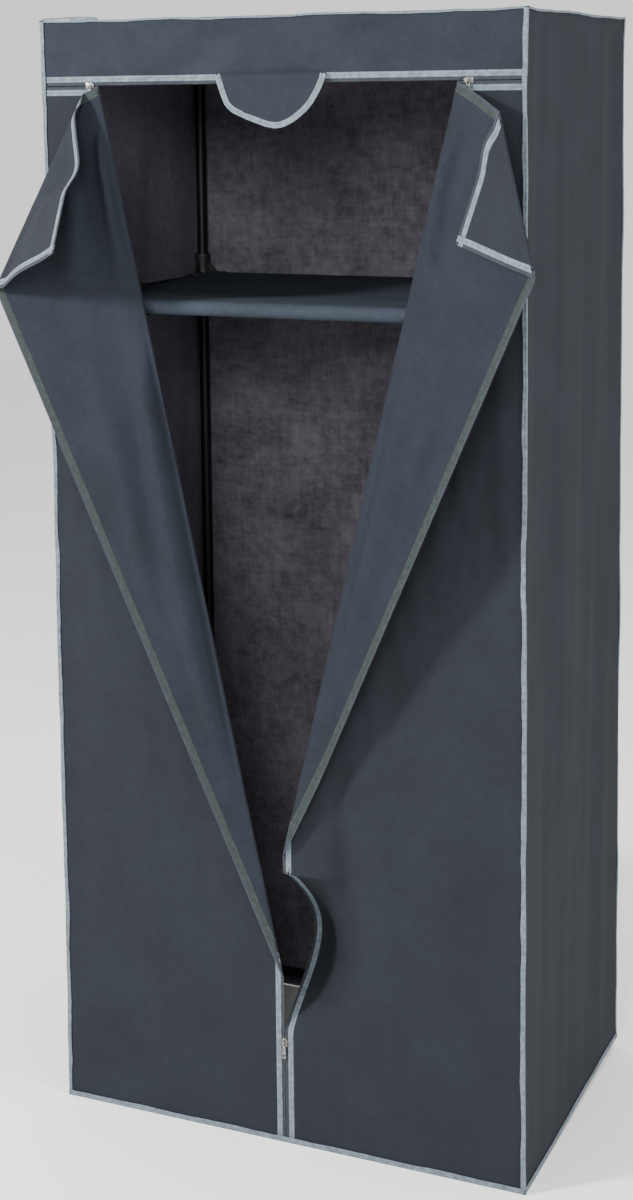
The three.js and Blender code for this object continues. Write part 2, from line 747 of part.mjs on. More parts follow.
function bridge() {
  const seat = -(wingGap / 2 + wingThickness / 2);
  const foot = -(wingGap / 2 + wingThickness);
  const front = foot - bridgeRise;
  const half = bridgeLength / 2;
  const arch = outline([
    [seat, -half], [seat, half], [front + bridgeBar, half], [front, half - bridgeBar],
    [front, bridgeBar - half], [front + bridgeBar, -half],
  ]);
  const hole = half - bridgeLeg;
  arch.holes.push(rectangle(front + bridgeBar, -hole, foot - tubeFit, hole));
  return solidOf(sidePlate(arch, bridgeWidth));
}

const bridgeMiddle = wingGap / 2 + wingThickness + bridgeRise / 2 - bridgeBar / 4;

function pull(length) {
  const half = pullWidth / 2;
  const bar = pullThickness / 2;
  const shape = new THREE.Shape();
  shape.moveTo(half, bar);
  shape.lineTo(-half, bar);
  shape.lineTo(-half, half - length);
  shape.absarc(0, half - length, half, Math.PI, 2 * Math.PI, false);
  shape.closePath();
  const eye = half - pullArm;
  shape.holes.push(rectangle(-eye, -pullEye, eye, -bar));
  return solidOf(extruded(shape, pullThickness, arcSides / 2).rotateX(Math.PI / 2));
}

function addSlider(name, x, z, turn, length) {
  const turnedBody = geometryOf(sliderBody()).rotateY(turn);
  const place = new THREE.Vector3(x, doorY, z);
  addPart(`${name}_slider`, solidOf(turnedBody).add(bridge()), nickel).position.copy(place);
  const hinge = new THREE.Vector3(x, doorY - bridgeMiddle, z);
  addPart(`${name}_pull`, pull(length), nickel).position.copy(hinge);
}

// The rounded tab that hangs from the valance over the middle of the top zip

function tabShape() {
  const shape = new THREE.Shape();
  const half = tabWidth / 2;
  shape.moveTo(half, 0);
  shape.lineTo(-half, 0);
  shape.absellipse(0, 0, half, tabLength, Math.PI, 2 * Math.PI, false);
  return shape;
}

function addTab() {
  const back = bindingThickness / 2 + tabClearance + tabRollRadius;
  const sheet = back + tabRollRadius - clothThickness / 2;
  const roll = new THREE.CylinderGeometry(tabRollRadius, tabRollRadius, tabWidth, tubeSides);
  const tab = joined([
    solidOf(roll.rotateZ(Math.PI / 2).translate(0, -back, 0)),
    solidOf(frontPlate(tabShape(), clothThickness).translate(0, -sheet, 0)),
    solidOf(frontPlate(rimOfTab(), bindingThickness).translate(0, -sheet, 0)),
  ]);
  addPart('valance_tab', tab, coverCloth).position.set(0, doorY, zipHeight + bandEnd - tabRollRadius / 2);
}

function rimOfTab() {
  const rim = tabShape();
  const half = tabWidth / 2 - bindingWidth;
  const drop = tabLength - bindingWidth - tabRollRadius;
  const opening = new THREE.Shape();
  opening.moveTo(half, -tabRollRadius);
  opening.lineTo(-half, -tabRollRadius);
  opening.absellipse(0, -tabRollRadius, half, drop, Math.PI, 2 * Math.PI, false);
  rim.holes.push(opening);
  return rim;
}

// Shelf: cloth with a sleeve along its front and rear edges, which the shelf rails run through

function shelf() {
  const sleeveEnd = postX - socketStop - socketDepth - seamGap;
  const panelEnd = postX - socketRadius - collarRise - 2 * seamGap;
  const notch = postY - socketRadius - collarRise - seamGap;
  const halfAt = (y) => (Math.abs(y) > notch ? sleeveEnd : panelEnd);
  const level = shelfHeight + sleeveRadius - shelfThickness / 2;
  const middle = (share, y) => {
    const sag = shelfSag * faded(postY - Math.abs(y), postY) * (1 - share * share / 2);
    return [share * halfAt(y), y, level - sag];
  };
  const inner = sampled(-notch + seamGap, notch - seamGap, 8);
  const rows = [-postY, -notch - seamGap, ...inner, notch + seamGap, postY];
  const panel = clothSheet(sampled(-1, 1, 8), rows, middle, () => shelfThickness, AXES.up);
  const sleeves = [-postY, postY].map((y) => {
    const ring = new THREE.Shape().absarc(0, 0, sleeveRadius, 0, 2 * Math.PI, false);
    ring.holes.push(new THREE.Path().absarc(0, 0, tubeRadius + 2 * tubeFit, 0, 2 * Math.PI, true));
    return solidOf(sidePlate(ring, 2 * sleeveEnd).translate(0, y, shelfHeight));
  });
  return joined([panel, ...sleeves]);
}

function addCover() {
  addPart('cover_top', topPanel(), coverCloth);
  addPart('cover_back', backWall(), coverCloth);
  addPart('cover_left', sideWall(-1), coverCloth);
  addPart('cover_right', sideWall(1), coverCloth);
  addPart('hem_binding', hemBinding(), bindingTape);
  addPart('valance', valance(), coverCloth);
  addTab();
  addDoor(leftFold, 'left');
  addDoor(rightFold, 'right');
  addPart('shelf_cloth', shelf(), coverCloth);
}

function addSliders() {
  addSlider('centre', 0, sliderHeight, 0, pullLength);
  addSlider('top_left', -leftFold.start - leftSliderLead, zipHeight, Math.PI / 2, topPullLength);
  addSlider('top_right', rightFold.start + rightSliderLead, zipHeight, -Math.PI / 2, topPullLength);
}

addFrame();
addHangingRail();
addCover();
addSliders();

wardrobe.updateMatrixWorld(true);
const centre = new THREE.Box3().setFromObject(wardrobe, true).getCenter(new THREE.Vector3());
wardrobe.position.set(-centre.x, -centre.y, 0);
wardrobe.updateMatrixWorld(true);

export default wardrobe;
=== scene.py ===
"""Portable fabric wardrobe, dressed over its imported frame. Metres, +Z up, the doors face -Y."""
import math

import bmesh
import bpy
import numpy as np
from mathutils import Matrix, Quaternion, Vector


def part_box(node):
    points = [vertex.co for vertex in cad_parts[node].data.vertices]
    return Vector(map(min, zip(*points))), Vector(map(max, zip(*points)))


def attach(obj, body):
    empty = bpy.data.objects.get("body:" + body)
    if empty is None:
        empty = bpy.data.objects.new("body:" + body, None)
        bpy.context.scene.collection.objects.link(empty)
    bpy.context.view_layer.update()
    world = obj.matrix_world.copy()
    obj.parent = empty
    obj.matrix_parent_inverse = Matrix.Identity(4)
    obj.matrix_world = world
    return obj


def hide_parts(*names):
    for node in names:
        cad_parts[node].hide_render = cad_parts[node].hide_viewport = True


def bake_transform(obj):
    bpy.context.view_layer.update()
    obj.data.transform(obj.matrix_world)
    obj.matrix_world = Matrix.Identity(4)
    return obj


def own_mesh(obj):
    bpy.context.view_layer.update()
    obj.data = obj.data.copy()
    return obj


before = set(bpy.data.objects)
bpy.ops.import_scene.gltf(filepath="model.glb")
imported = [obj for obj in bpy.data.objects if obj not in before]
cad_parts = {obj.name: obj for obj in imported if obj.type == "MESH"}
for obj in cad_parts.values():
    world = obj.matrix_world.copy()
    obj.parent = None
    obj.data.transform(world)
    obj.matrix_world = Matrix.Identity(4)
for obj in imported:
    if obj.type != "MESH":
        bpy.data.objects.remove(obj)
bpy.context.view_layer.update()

MM = 0.001
ROOT = "wardrobe"

# The cover's own middle, on the floor, in the row frame
hem_low, hem_high = np.array(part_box("hem_binding"))
MIDDLE = (hem_low + hem_high) / 2 * [1, 1, 0]

# The cover's outside, its cloth's middle planes, its top zip and its hem
HALF_W, HALF_D, HEIGHT = 0.350, 0.230, 1.560
WALL_X, WALL_Y, WALL_TOP = 0.3477, 0.2277, 1.5581
CLOTH = 0.0007
DOOR_EDGE, ZIP_END, ZIP_Z = 0.3470, 0.3415, 1.470
HEM_LIFT, HEM_RISE = 0.004, 0.014

# The frame's posts and levels, and the outer radius and wall of its tubes
POST_X, POST_Y = 0.328, 0.208
BOTTOM_Z, SHELF_Z, TOP_Z = 0.034, 1.168, 1.5451
TUBE, TUBE_WALL = 0.008, 0.0009


# Camera, floor and light

PHOTO_WIDTH, PHOTO_HEIGHT = 633, 1200
SENSOR_HEIGHT = 36.0


def place_camera():
    """The camera of the photograph: where it stands, its lens and its shift."""
    azimuth, elevation, roll = (math.radians(a) for a in (24.27, 7.275, -0.694))
    distance, focal_pixels, centre = 2.907, 2004.9, (297.4, 352.0)
    target = Vector((-0.071, 0.0, 1.085)) + Vector(MIDDLE)
    away = Vector((
        math.sin(azimuth) * math.cos(elevation),
        -math.cos(azimuth) * math.cos(elevation),
        math.sin(elevation),
    ))
    data = bpy.data.cameras.new("photo_camera")
    camera = bpy.data.objects.new("photo_camera", data)
    bpy.context.scene.collection.objects.link(camera)
    camera.location = target + away * distance
    camera.rotation_mode = "QUATERNION"
    camera.rotation_quaternion = (-away).to_track_quat("-Z", "Y") @ Quaternion((0, 0, 1), roll)
    data.sensor_fit = "VERTICAL"
    data.sensor_height = SENSOR_HEIGHT
    data.lens = focal_pixels * SENSOR_HEIGHT / PHOTO_HEIGHT
    data.shift_x = (PHOTO_WIDTH / 2 - centre[0]) / PHOTO_HEIGHT
    data.shift_y = (centre[1] - PHOTO_HEIGHT / 2) / PHOTO_HEIGHT
    data.clip_end = 60.0
    bpy.context.scene.camera = camera


def area_light(name, place, aim, size, power):
    data = bpy.data.lights.new(name, "AREA")
    data.shape = "RECTANGLE"
    data.size, data.size_y = size
    data.energy = power
    lamp = bpy.data.objects.new(name, data)
    bpy.context.scene.collection.objects.link(lamp)
    lamp.location = Vector(place)
    lamp.rotation_euler = (Vector(aim) - Vector(place)).to_track_quat("-Z", "Y").to_euler()


def lay_floor():
    bpy.ops.mesh.primitive_plane_add(size=14)
    floor = bpy.context.object
    floor.name = "pale_floor"
    floor.data.materials.append(PALE_FLOOR)


def pale_world():
    world = bpy.data.worlds.new("pale_world")
    bpy.context.scene.world = world
    world.use_nodes = True
    back = world.node_tree.nodes["Background"]
    back.inputs["Color"].default_value = (1.0, 1.0, 1.0, 1.0)
    back.inputs["Strength"].default_value = 1.1


# Finishes


class Value:
    """A socket that can be used in arithmetic."""

    def __init__(self, finish, socket):
        self.finish, self.socket = finish, socket

    def maths(self, operation, *values):
        return self.finish.node("ShaderNodeMath", {"operation": operation}, dict(enumerate(values)))

    def __add__(self, other):
        return self.maths("ADD", self, other)

    def __radd__(self, other):
        return self.maths("ADD", other, self)

    def __rsub__(self, other):
        return self.maths("SUBTRACT", other, self)

    def __mul__(self, other):
        return self.maths("MULTIPLY", self, other)

    def sine(self):
        return self.maths("SINE", self)

    def clamped(self):
        return self.finish.node("ShaderNodeClamp", {}, {"Value": self})

    def between(self, low, high):
        """0 below low, 1 above high, smooth in between."""
        settings = {"interpolation_type": "SMOOTHSTEP"}
        sockets = {"Value": self, "From Min": low, "From Max": high, "To Min": 0.0, "To Max": 1.0}
        return self.finish.node("ShaderNodeMapRange", settings, sockets)


class Finish:
    """One material, made of nodes."""

    def __init__(self, name):
        self.material = bpy.data.materials.new(name)
        self.material.use_nodes = True
        self.tree = self.material.node_tree
        self.shader = self.tree.nodes["Principled BSDF"]

    def node(self, kind, settings=None, sockets=None, out=0):
        made = self.tree.nodes.new(kind)
        for key, value in (settings or {}).items():
            setattr(made, key, value)
        for key, value in (sockets or {}).items():
            self.feed(made.inputs[key], value)
        return Value(self, made.outputs[out])

    def feed(self, socket, value):
        if isinstance(value, Value):
            self.tree.links.new(value.socket, socket)
        else:
            socket.default_value = value

    def place(self, scale=(1, 1, 1), of="UV"):
        coordinates = self.node("ShaderNodeTexCoord", out=of)
        return self.node("ShaderNodeMapping", {}, {"Vector": coordinates, "Scale": scale})

    def axes(self):
        parts = self.node("ShaderNodeSeparateXYZ", {}, {"Vector": self.place()})
        return [Value(self, output) for output in parts.socket.node.outputs]

    def noise(self, where, scale, detail=3.0, roughness=0.55):
        sockets = {"Vector": where, "Scale": scale, "Detail": detail, "Roughness": roughness}
        return self.node("ShaderNodeTexNoise", {}, sockets)

    def mix(self, share, first, second):
        settings = {"data_type": "RGBA"}
        return self.node("ShaderNodeMix", settings, {0: share, 6: first, 7: second}, out=2)

    def bump(self, height, distance, strength):
        return self.node("ShaderNodeBump", {}, {"Height": height, "Distance": distance, "Strength": strength})

    def set(self, **sockets):
        for key, value in sockets.items():
            self.feed(self.shader.inputs[key.replace("_", " ")], value)
        return self.material


def linear(code):
    """A colour written as rrggbb, as the linear colour the shader takes."""
    parts = [int(code[i:i + 2], 16) / 255 for i in (0, 2, 4)]
    return tuple(c / 12.92 if c <= 0.04045 else ((c + 0.055) / 1.055) ** 2.4 for c in parts) + (1.0,)


def bonded_cloth(name, dark, light, mottle, fibre, cloud=0.55, fine=95.0, streak=0.0):
    """Bonded fibre cloth: a fine embossed grid, loose fibres and uneven, cloudy colour."""
    f = Finish(name)
    where = f.place()
    u, v, _ = f.axes()
    grid = ((u * 4200.0).sine() * (v * 4200.0).sine()).between(-0.2, 0.9)
    clouds = f.noise(where, 9.0, 4.0, 0.62)
    patches = f.noise(where, fine, 5.0, 0.72)
    fibres = f.noise(f.place((230.0, 900.0, 1.0)), 1.0, 4.0, 0.75)
    cross = f.noise(f.place((900.0, 260.0, 1.0)), 1.0, 4.0, 0.75)
    streaks = f.noise(f.place((24.0, 170.0, 1.0)), 1.0, 6.0, 0.7)
    streaks = streaks + f.noise(f.place((170.0, 24.0, 1.0)), 1.0, 6.0, 0.7)
    uneven = patches * (1 - streak) + streaks * (streak / 2)
    cloudy = (clouds * cloud + uneven * (1 - cloud)).between(0.5 - mottle, 0.5 + mottle)
    strands = (fibres.between(0.55, 0.8) + cross.between(0.55, 0.8)) * fibre
    base = f.mix(cloudy, linear(dark), linear(light))
    base = f.mix((strands + grid * 0.06).clamped(), base, linear("8f8d94"))
    height = grid * 0.35 + fibres * 0.8 + cross * 0.8 + patches * 0.7
    return f.set(
        Base_Color=base, Roughness=(0.86 - strands * 0.2), Normal=f.bump(height, 0.00022, 0.55),
        Specular_IOR_Level=0.16,
    )


def woven_tape(name, colour, shade):
    """Woven binding tape: fine cross ribs, a raised edge and slightly uneven dye."""
    f = Finish(name)
    where = f.place()
    u, v, _ = f.axes()
    ribs = (u * 5200.0).sine() * 0.5 + (v * 5200.0).sine() * 0.5
    uneven = f.noise(where, 120.0, 4.0, 0.7)
    fine = f.noise(where, 900.0, 3.0, 0.8)
    base = f.mix(uneven.between(0.3, 0.7), linear(shade), linear(colour))
    base = f.mix((fine.between(0.5, 0.85) * 0.25).clamped(), base, linear(shade))
    return f.set(
        Base_Color=base, Roughness=0.78 + fine * 0.12, Normal=f.bump(ribs * 0.4 + fine, 0.00018, 0.6),
        Specular_IOR_Level=0.25,
    )


def powder_coat():
    f = Finish("black_powder_coat")
    where = f.place(of="Object")
    grain = f.noise(where, 1400.0, 2.0, 0.6)
    wear = f.noise(where, 35.0, 4.0, 0.6).between(0.58, 0.75)
    base = f.mix(wear * 0.35, linear("09090b"), linear("1b1c20"))
    return f.set(
        Base_Color=base, Roughness=0.46 + wear * 0.12, Normal=f.bump(grain, 0.00006, 0.5),
        Specular_IOR_Level=0.3,
    )


def moulded_plastic():
    f = Finish("moulded_black_plastic")
    where = f.place(of="Object")
    spark = f.noise(where, 2200.0, 2.0, 0.5)
    flow = f.noise(where, 45.0, 3.0, 0.5)
    base = f.mix(flow.between(0.35, 0.7), linear("151517"), linear("222226"))
    return f.set(Base_Color=base, Roughness=0.5 + spark * 0.15, Normal=f.bump(spark, 0.00008, 0.4))


def plated_nickel():
    f = Finish("plated_nickel")
    where = f.place(of="Object")
    rub = f.noise(where, 1500.0, 4.0, 0.6)
    dull = f.noise(where, 260.0, 4.0, 0.6).between(0.45, 0.7)
    base = f.mix(dull, linear("8a8884"), linear("5a5956"))
    return f.set(Base_Color=base, Metallic=1.0, Roughness=0.28 + dull * 0.2, Normal=f.bump(rub, 0.00003, 0.4))


def toned(name, dark, light, noise, rough, rougher, **others):
    """A plain matt finish whose colour and roughness vary softly together."""
    f = Finish(name)
    tone = f.noise(f.place(of="Object"), *noise)
    base = f.mix(tone, linear(dark), linear(light))
    return f.set(Base_Color=base, Roughness=rough + tone * rougher, **others)


OUTER = bonded_cloth("slate_cloth_outside", "11151a", "181d24", 0.20, 0.06)
# The valance and tab use the outside cloth made a little lighter: painted light for the light that falls on
# the top of the front from above.
LIT_VALANCE_CLOTH = bonded_cloth("slate_cloth_valance_painted_light", "13181f", "1c232c", 0.22, 0.06)
# The shelf uses the slate cloth made much lighter: painted light for the light from above on its front roll.
LIT_SHELF_CLOTH = bonded_cloth("slate_cloth_shelf_painted_light", "1e252c", "29313b", 0.20, 0.07)
LINING = bonded_cloth("slate_cloth_inside", "0f141b", "171e27", 0.20, 0.07)
MOTTLED = bonded_cloth("mottled_cloth_inside", "323037", "746f79", 0.19, 0.30, 0.34, 60.0, 0.5)
# The side walls' inner face is the mottled inner cloth with its darks lifted: painted light against the shade
# inside the side walls.
LIT_SIDE_LINING = bonded_cloth("side_cloth_inside_painted_light", "4c4954", "6c6974", 0.2, 0.16, 0.3, 60.0, 0.5)
TAPE = woven_tape("light_binding_tape", "6a757c", "4c565d")
TAPE_BACK = woven_tape("binding_tape_reverse", "2c3433", "1f2625")
ZIP_TAPE = woven_tape("zip_tape_dark", "2f343a", "23272c")
COIL = toned("zip_coil_nylon", "2a2e33", "4a5057", (400.0, 3.0, 0.6), 0.42, 0.1, Specular_IOR_Level=0.5)
THREAD = toned("grey_thread", "7d878d", "9aa3a9", (700.0, 2.0, 0.5), 0.7, 0.1)
DARK_THREAD = toned("slate_thread", "242a29", "353d3b", (700.0, 2.0, 0.5), 0.7, 0.1)
STEEL = powder_coat()
PLASTIC = moulded_plastic()
NICKEL = plated_nickel()
PALE_FLOOR = toned("pale_floor", "f2f2f3", "f7f7f7", (1.3, 3.0, 0.5), 0.75, 0.05)


# Meshes


class Piece:
    """Collects surfaces in the cover's own axes and makes one object of them."""

    def __init__(self):
        self.points, self.faces, self.slots, self.flat, self.count = [], [], [], [], 0

    def add(self, points, faces, slots=0, flat=None):
        points = np.asarray(points, float).reshape(-1, 3)
        flat = points[:, [0, 2]] if flat is None else np.asarray(flat, float).reshape(-1, 2)
        self.faces += [tuple(self.count + i for i in face) for face in faces]
        self.slots += [slots] * len(faces) if isinstance(slots, int) else list(slots)
        self.points.append(points)
        self.flat.append(flat)
        self.count += len(points)

    def make(self, name, finishes, body=ROOT, shape=None, smooth=50, recalculate=True):
        points = np.concatenate(self.points)
        flat = np.concatenate(self.flat)
        if shape is not None:
            points = shape(points)
        mesh = bpy.data.meshes.new(name)
        mesh.from_pydata((points + MIDDLE).tolist(), [], self.faces)
        for finish in finishes:
            mesh.materials.append(finish)
        mesh.polygons.foreach_set("material_index", self.slots)
        layer = mesh.uv_layers.new(name="flat_cloth")
        corners = np.empty(len(mesh.loops), int)
        mesh.loops.foreach_get("vertex_index", corners)
        layer.data.foreach_set("uv", flat[corners].ravel())
        weld_mesh(mesh, recalculate)
        mesh.shade_smooth()
        mesh.set_sharp_from_angle(angle=math.radians(smooth))
        return in_scene(name, mesh, body)


def in_scene(name, mesh, body):
    """An object of this mesh, on its body. A piece without a body is left unattached."""
    piece = bpy.data.objects.new(name, mesh)
    bpy.context.scene.collection.objects.link(piece)
    if body is not None:
        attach(piece, body)
    return piece


def stands_for(piece, node):
    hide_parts(node)


def weld_mesh(mesh, recalculate):
    work = bmesh.new()
    work.from_mesh(mesh)
    bmesh.ops.remove_doubles(work, verts=work.verts, dist=1e-6)
    bmesh.ops.dissolve_degenerate(work, edges=work.edges, dist=1e-7)
    if recalculate:
        bmesh.ops.recalc_face_normals(work, faces=work.faces)
    work.to_mesh(mesh)
    work.free()
    mesh.update()


def smoothstep(value, low, high):
    t = np.clip((value - low) / (high - low), 0.0, 1.0)
    return t * t * (3 - 2 * t)


def waves(u, v, seed, count=6, longest=0.5, shortest=0.08, upright=2.5):
    """Soft, irregular waves from -1 to 1, longer along v than across it."""
    dice = np.random.default_rng(seed)
    total = np.zeros(np.broadcast(u, v).shape)
    for k in range(count):
        length = longest * (shortest / longest) ** (k / max(1, count - 1))
        angle = dice.uniform(-0.5, 0.5)
        phase = dice.uniform(0, 2 * math.pi)
        across, along = math.cos(angle), math.sin(angle) + dice.uniform(-0.3, 0.3)
        share = (length / longest) ** 0.8
        total = total + share * np.sin(2 * math.pi * (u * across + v * along / upright) / length + phase)
    return total / 2.0


def grid_faces(rows, columns, start=0, turn=False):
    faces = []
    for j in range(rows - 1):
        for i in range(columns - 1):
            a = start + j * columns + i
            face = (a, a + 1, a + columns + 1, a + columns)
            faces.append(face[::-1] if turn else face)
    return faces


def rim_faces(rows, columns):
    size = rows * columns
    loop = list(range(columns))
    loop += [j * columns + columns - 1 for j in range(1, rows)]
    loop += [size - 1 - i for i in range(1, columns)]
    loop += [(rows - 1 - j) * columns for j in range(1, rows - 1)]
    return [(b, a, a + size, b + size) for a, b in zip(loop, loop[1:] + loop[:1])]


def facing_normals(grid, facing):
    along = np.gradient(grid, axis=0)
    across = np.gradient(grid, axis=1)
    normal = np.cross(across, along)
    size = np.linalg.norm(normal, axis=2, keepdims=True)
    facing = np.asarray(facing, float)
    normal = np.where(size > 1e-12, normal / np.maximum(size, 1e-12), facing)
    return normal * np.where((normal @ facing)[..., None] < 0, -1.0, 1.0)


def shell(piece, grid, flat, facing, thickness=CLOTH, slots=(0, 1), normal=None):
    """A sheet with both its faces and its rim. The first slot is the side that faces out."""
    rows, columns = grid.shape[:2]
    if normal is None:
        normal = facing_normals(grid, facing)
    half = np.broadcast_to(thickness, grid.shape[:2])[..., None] / 2
    outside = (grid + normal * half).reshape(-1, 3)
    inside = (grid - normal * half).reshape(-1, 3)
    faces = grid_faces(rows, columns) + grid_faces(rows, columns, rows * columns, True)
    faces += rim_faces(rows, columns)
    sheet = (rows - 1) * (columns - 1)
    slot = [slots[0]] * sheet + [slots[1]] * sheet + [slots[0]] * (len(faces) - 2 * sheet)
    piece.add(np.concatenate([outside, inside]), faces, slot, np.concatenate([flat.reshape(-1, 2)] * 2))


def turned_faces(rings, sides, closed):
    """The faces between neighbouring rings of points."""
    return [
        (j * sides + i, j * sides + n, k * sides + n, k * sides + i)
        for j, k in zip(range(rings if closed else rings - 1), [*range(1, rings), 0])
        for i, n in zip(range(sides), [*range(1, sides), 0])
    ]


def circle(sides, radius=1.0, flattened=1.0):
    angle = np.linspace(0, 2 * math.pi, sides, endpoint=False)
    return np.column_stack([np.cos(angle) * radius, np.sin(angle) * radius * flattened])


def directions(path):
    step = np.gradient(path, axis=0)
    return step / np.linalg.norm(step, axis=1, keepdims=True)


def bar(piece, path, across, up, profile, closed=False):
    """A closed profile, given as points across and up, carried along a path."""
    across, up = (np.broadcast_to(np.asarray(a, float), path.shape) for a in (across, up))
    profile = np.asarray(profile, float)
    if profile.ndim == 2:
        profile = np.broadcast_to(profile, (len(path),) + profile.shape)
    points = path[:, None] + across[:, None] * profile[..., :1] + up[:, None] * profile[..., 1:]
    rings, sides = points.shape[:2]
    faces = turned_faces(rings, sides, closed)
    if not closed:
        faces += [tuple(range(sides))[::-1], tuple((rings - 1) * sides + i for i in range(sides))]
    steps = np.concatenate([[0], np.cumsum(np.linalg.norm(np.diff(path, axis=0), axis=1))])
    round_it = np.cumsum(np.linalg.norm(np.diff(profile, axis=1, prepend=profile[:, :1]), axis=2), axis=1)
    flat = np.stack([round_it, np.broadcast_to(steps[:, None], round_it.shape)], axis=2)
    piece.add(points.reshape(-1, 3), faces, 0, flat)


def lathe(piece, profile, place, direction, sides=32):
    """A profile of (radius, height) turned about a line through place."""
    profile = np.asarray(profile, float)
    points = np.concatenate([np.column_stack([circle(sides, r), np.full(sides, h)]) for r, h in profile])
    turn = np.array(Vector(direction).to_track_quat("Z", "Y").to_matrix())
    faces = []
    for j in range(len(profile)):
        k = (j + 1) % len(profile)
        if profile[j][0] < 1e-9 and profile[k][0] < 1e-9:
            continue
        for i in range(sides):
            n = (i + 1) % sides
            faces.append((j * sides + i, j * sides + n, k * sides + n, k * sides + i))
    round_it = np.tile(np.arange(sides) * (2 * math.pi / sides * 0.01), len(profile))
    flat = np.stack([round_it, points[:, 2]], axis=1)
    piece.add(points @ turn.T + np.asarray(place, float), faces, 0, flat)


# Folds of the turned-back doors

# A fold's axis stands off its line by the lift; cloth within the pressed depth thins to a share at a fold
LIFT = 0.001
PRESSED, PRESSED_SHARE = 0.0016, 0.22
OUT, IN = np.array([0.0, -1.0, 0.0]), np.array([0.0, 1.0, 0.0])


def unit(vector):
    return vector / np.linalg.norm(vector)


def on_door(x, z):
    return np.array([x, -WALL_Y, z])


class Fold:
    """A straight fold between two bodies: cloth on its far side has rolled over by the turn."""

    def __init__(self, top, foot, toward, out, turn, roll):
        self.start, self.out = top, out
        self.line = unit(foot - top)
        across = toward - top
        self.across = unit(across - (across @ self.line) * self.line)
        self.axis = top + out * LIFT
        self.turn, self.roll = math.radians(turn), roll
        self.half = self.turn / 2
        self.end = top + roll * (math.cos(self.half) * self.across + math.sin(self.half) * out)

    def shares(self, d, n):
        """How far each point has turned, from 0 to 1, so that unfolding brings it back flat."""
        lead = LIFT * math.sin(self.half)

        def short(t):
            angle = t * t * (3 - 2 * t) * self.turn - self.half
            return lead + d * np.cos(angle) - n * np.sin(angle) - self.roll * t

        steps = np.linspace(0, 1, 97)
        values = np.array([short(t) for t in steps])
        crossing = (values[:-1] > 0) & (values[1:] <= 0)
        found = crossing.any(axis=0)
        last = len(crossing) - 1 - crossing[::-1].argmax(axis=0)
        low, high = steps[last], steps[last + 1]
        for _ in range(26):
            middle = (low + high) / 2
            before = short(middle) > 0
            low, high = np.where(before, middle, low), np.where(before, high, middle)
        t = np.where(values[-1] > 0, 1.0, np.where(found, (low + high) / 2, 0.0))
        return t * t * (3 - 2 * t)

    def pinched(self, points, reach=0.030):
        """Cloth and tape, pressed thinner where they cross the fold."""
        away = points - self.start
        near = smoothstep(np.abs(away @ self.across), 0.0, reach)
        depth = away @ self.out
        thin = np.clip(depth, -PRESSED, PRESSED) * (1 - near) * (1 - PRESSED_SHARE)
        return points - thin[:, None] * self.out

    def bend(self, points, rigid=False):
        """Turned about the fold: cloth by the share of each point, a rigid thing by the whole turn."""
        away = points - self.axis
        d, n, along = away @ self.across, away @ self.out, away @ self.line
        angle = self.turn * (np.ones(len(d)) if rigid else self.shares(d, n))
        c, s = np.cos(angle), np.sin(angle)
        spread = (d * c - n * s)[:, None] * self.across + (d * s + n * c)[:, None] * self.out
        return self.axis + along[:, None] * self.line + spread


class Door:
    """Where one door's cloth is cut by its fold lines, in the closed door's plane."""

    def __init__(self, hand, side, start, end, turn, roll, corner_turn, corner_roll, top_share, edge_share):
        self.hand, self.side, self.start, self.end = hand, side, start, end
        self.lapel_body, self.corner_body = f"{hand}_lapel", f"{hand}_corner"
        top, foot, tip = on_door(side * start, ZIP_Z), on_door(0, end), on_door(0, ZIP_Z)
        self.corner_top = top + (tip - top) * top_share
        self.corner_edge = tip + (foot - tip) * edge_share
        self.fold = Fold(top, foot, tip, OUT, turn, roll)
        self.corner_fold = Fold(self.corner_top, self.corner_edge, tip, IN, corner_turn, corner_roll)

    def fold_x(self, z):
        return self.side * self.start * (z - self.end) / (ZIP_Z - self.end)

    def fold_z(self, x):
        return self.end + (ZIP_Z - self.end) * x / (self.side * self.start)

    def corner_x(self, z):
        a, b = self.corner_top, self.corner_edge
        return a[0] + (b[0] - a[0]) * (z - a[2]) / (b[2] - a[2])

    def corner_z(self, x):
        a, b = self.corner_top, self.corner_edge
        return a[2] + (b[2] - a[2]) * (x - a[0]) / (b[0] - a[0])

    def clear_of_corner(self, x, z, near, far):
        """0 within near of the corner's fold line, 1 beyond far."""
        return smoothstep(from_line(x, z, self.corner_top, self.corner_edge), near, far)

    def on_lapel(self, x, z):
        """How far places lie across the fold line and down it, and which of them are the lapel's."""
        away = np.stack([x - self.fold.start[0], 0 * x, z - self.fold.start[2]], axis=-1)
        d, s = away @ self.fold.across, away @ self.fold.line
        return d, s, (x * self.side > 0) & (d > 0)

    def standing_shape(self, points):
        pressed = self.fold.pinched(points)
        return curled(pressed) if self.side > 0 else pressed

    def lapel_shape(self, points):
        return self.fold.bend(self.corner_fold.pinched(self.fold.pinched(points)))

    def corner_shape(self, points):
        return self.fold.bend(self.corner_fold.bend(self.corner_fold.pinched(points)), rigid=True)

    def blend_lapel(self, piece):
        self.fold.start + MIDDLE
        self.fold.end + MIDDLE
        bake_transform(piece)

    def blend_corner(self, piece):
        ends = self.fold.bend(np.array([self.corner_fold.start, self.corner_fold.end]), rigid=True)
        ends[0] + MIDDLE
        ends[1] + MIDDLE
        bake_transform(piece)


# Each door: where its fold starts across and ends in height, the fold's turn and roll, the corner's turn
# and roll, and the shares of the top edge and of the centre edge at which the corner's fold line cuts them
LEFT = Door("left", -1, 0.261, 0.235, 174, 0.0042, 130, 0.012, 0.06, 0.16)
RIGHT = Door("right", 1, 0.262, 0.395, 148, 0.013, 172, 0.004, 0.34, 0.13)
DOORS = (LEFT, RIGHT)

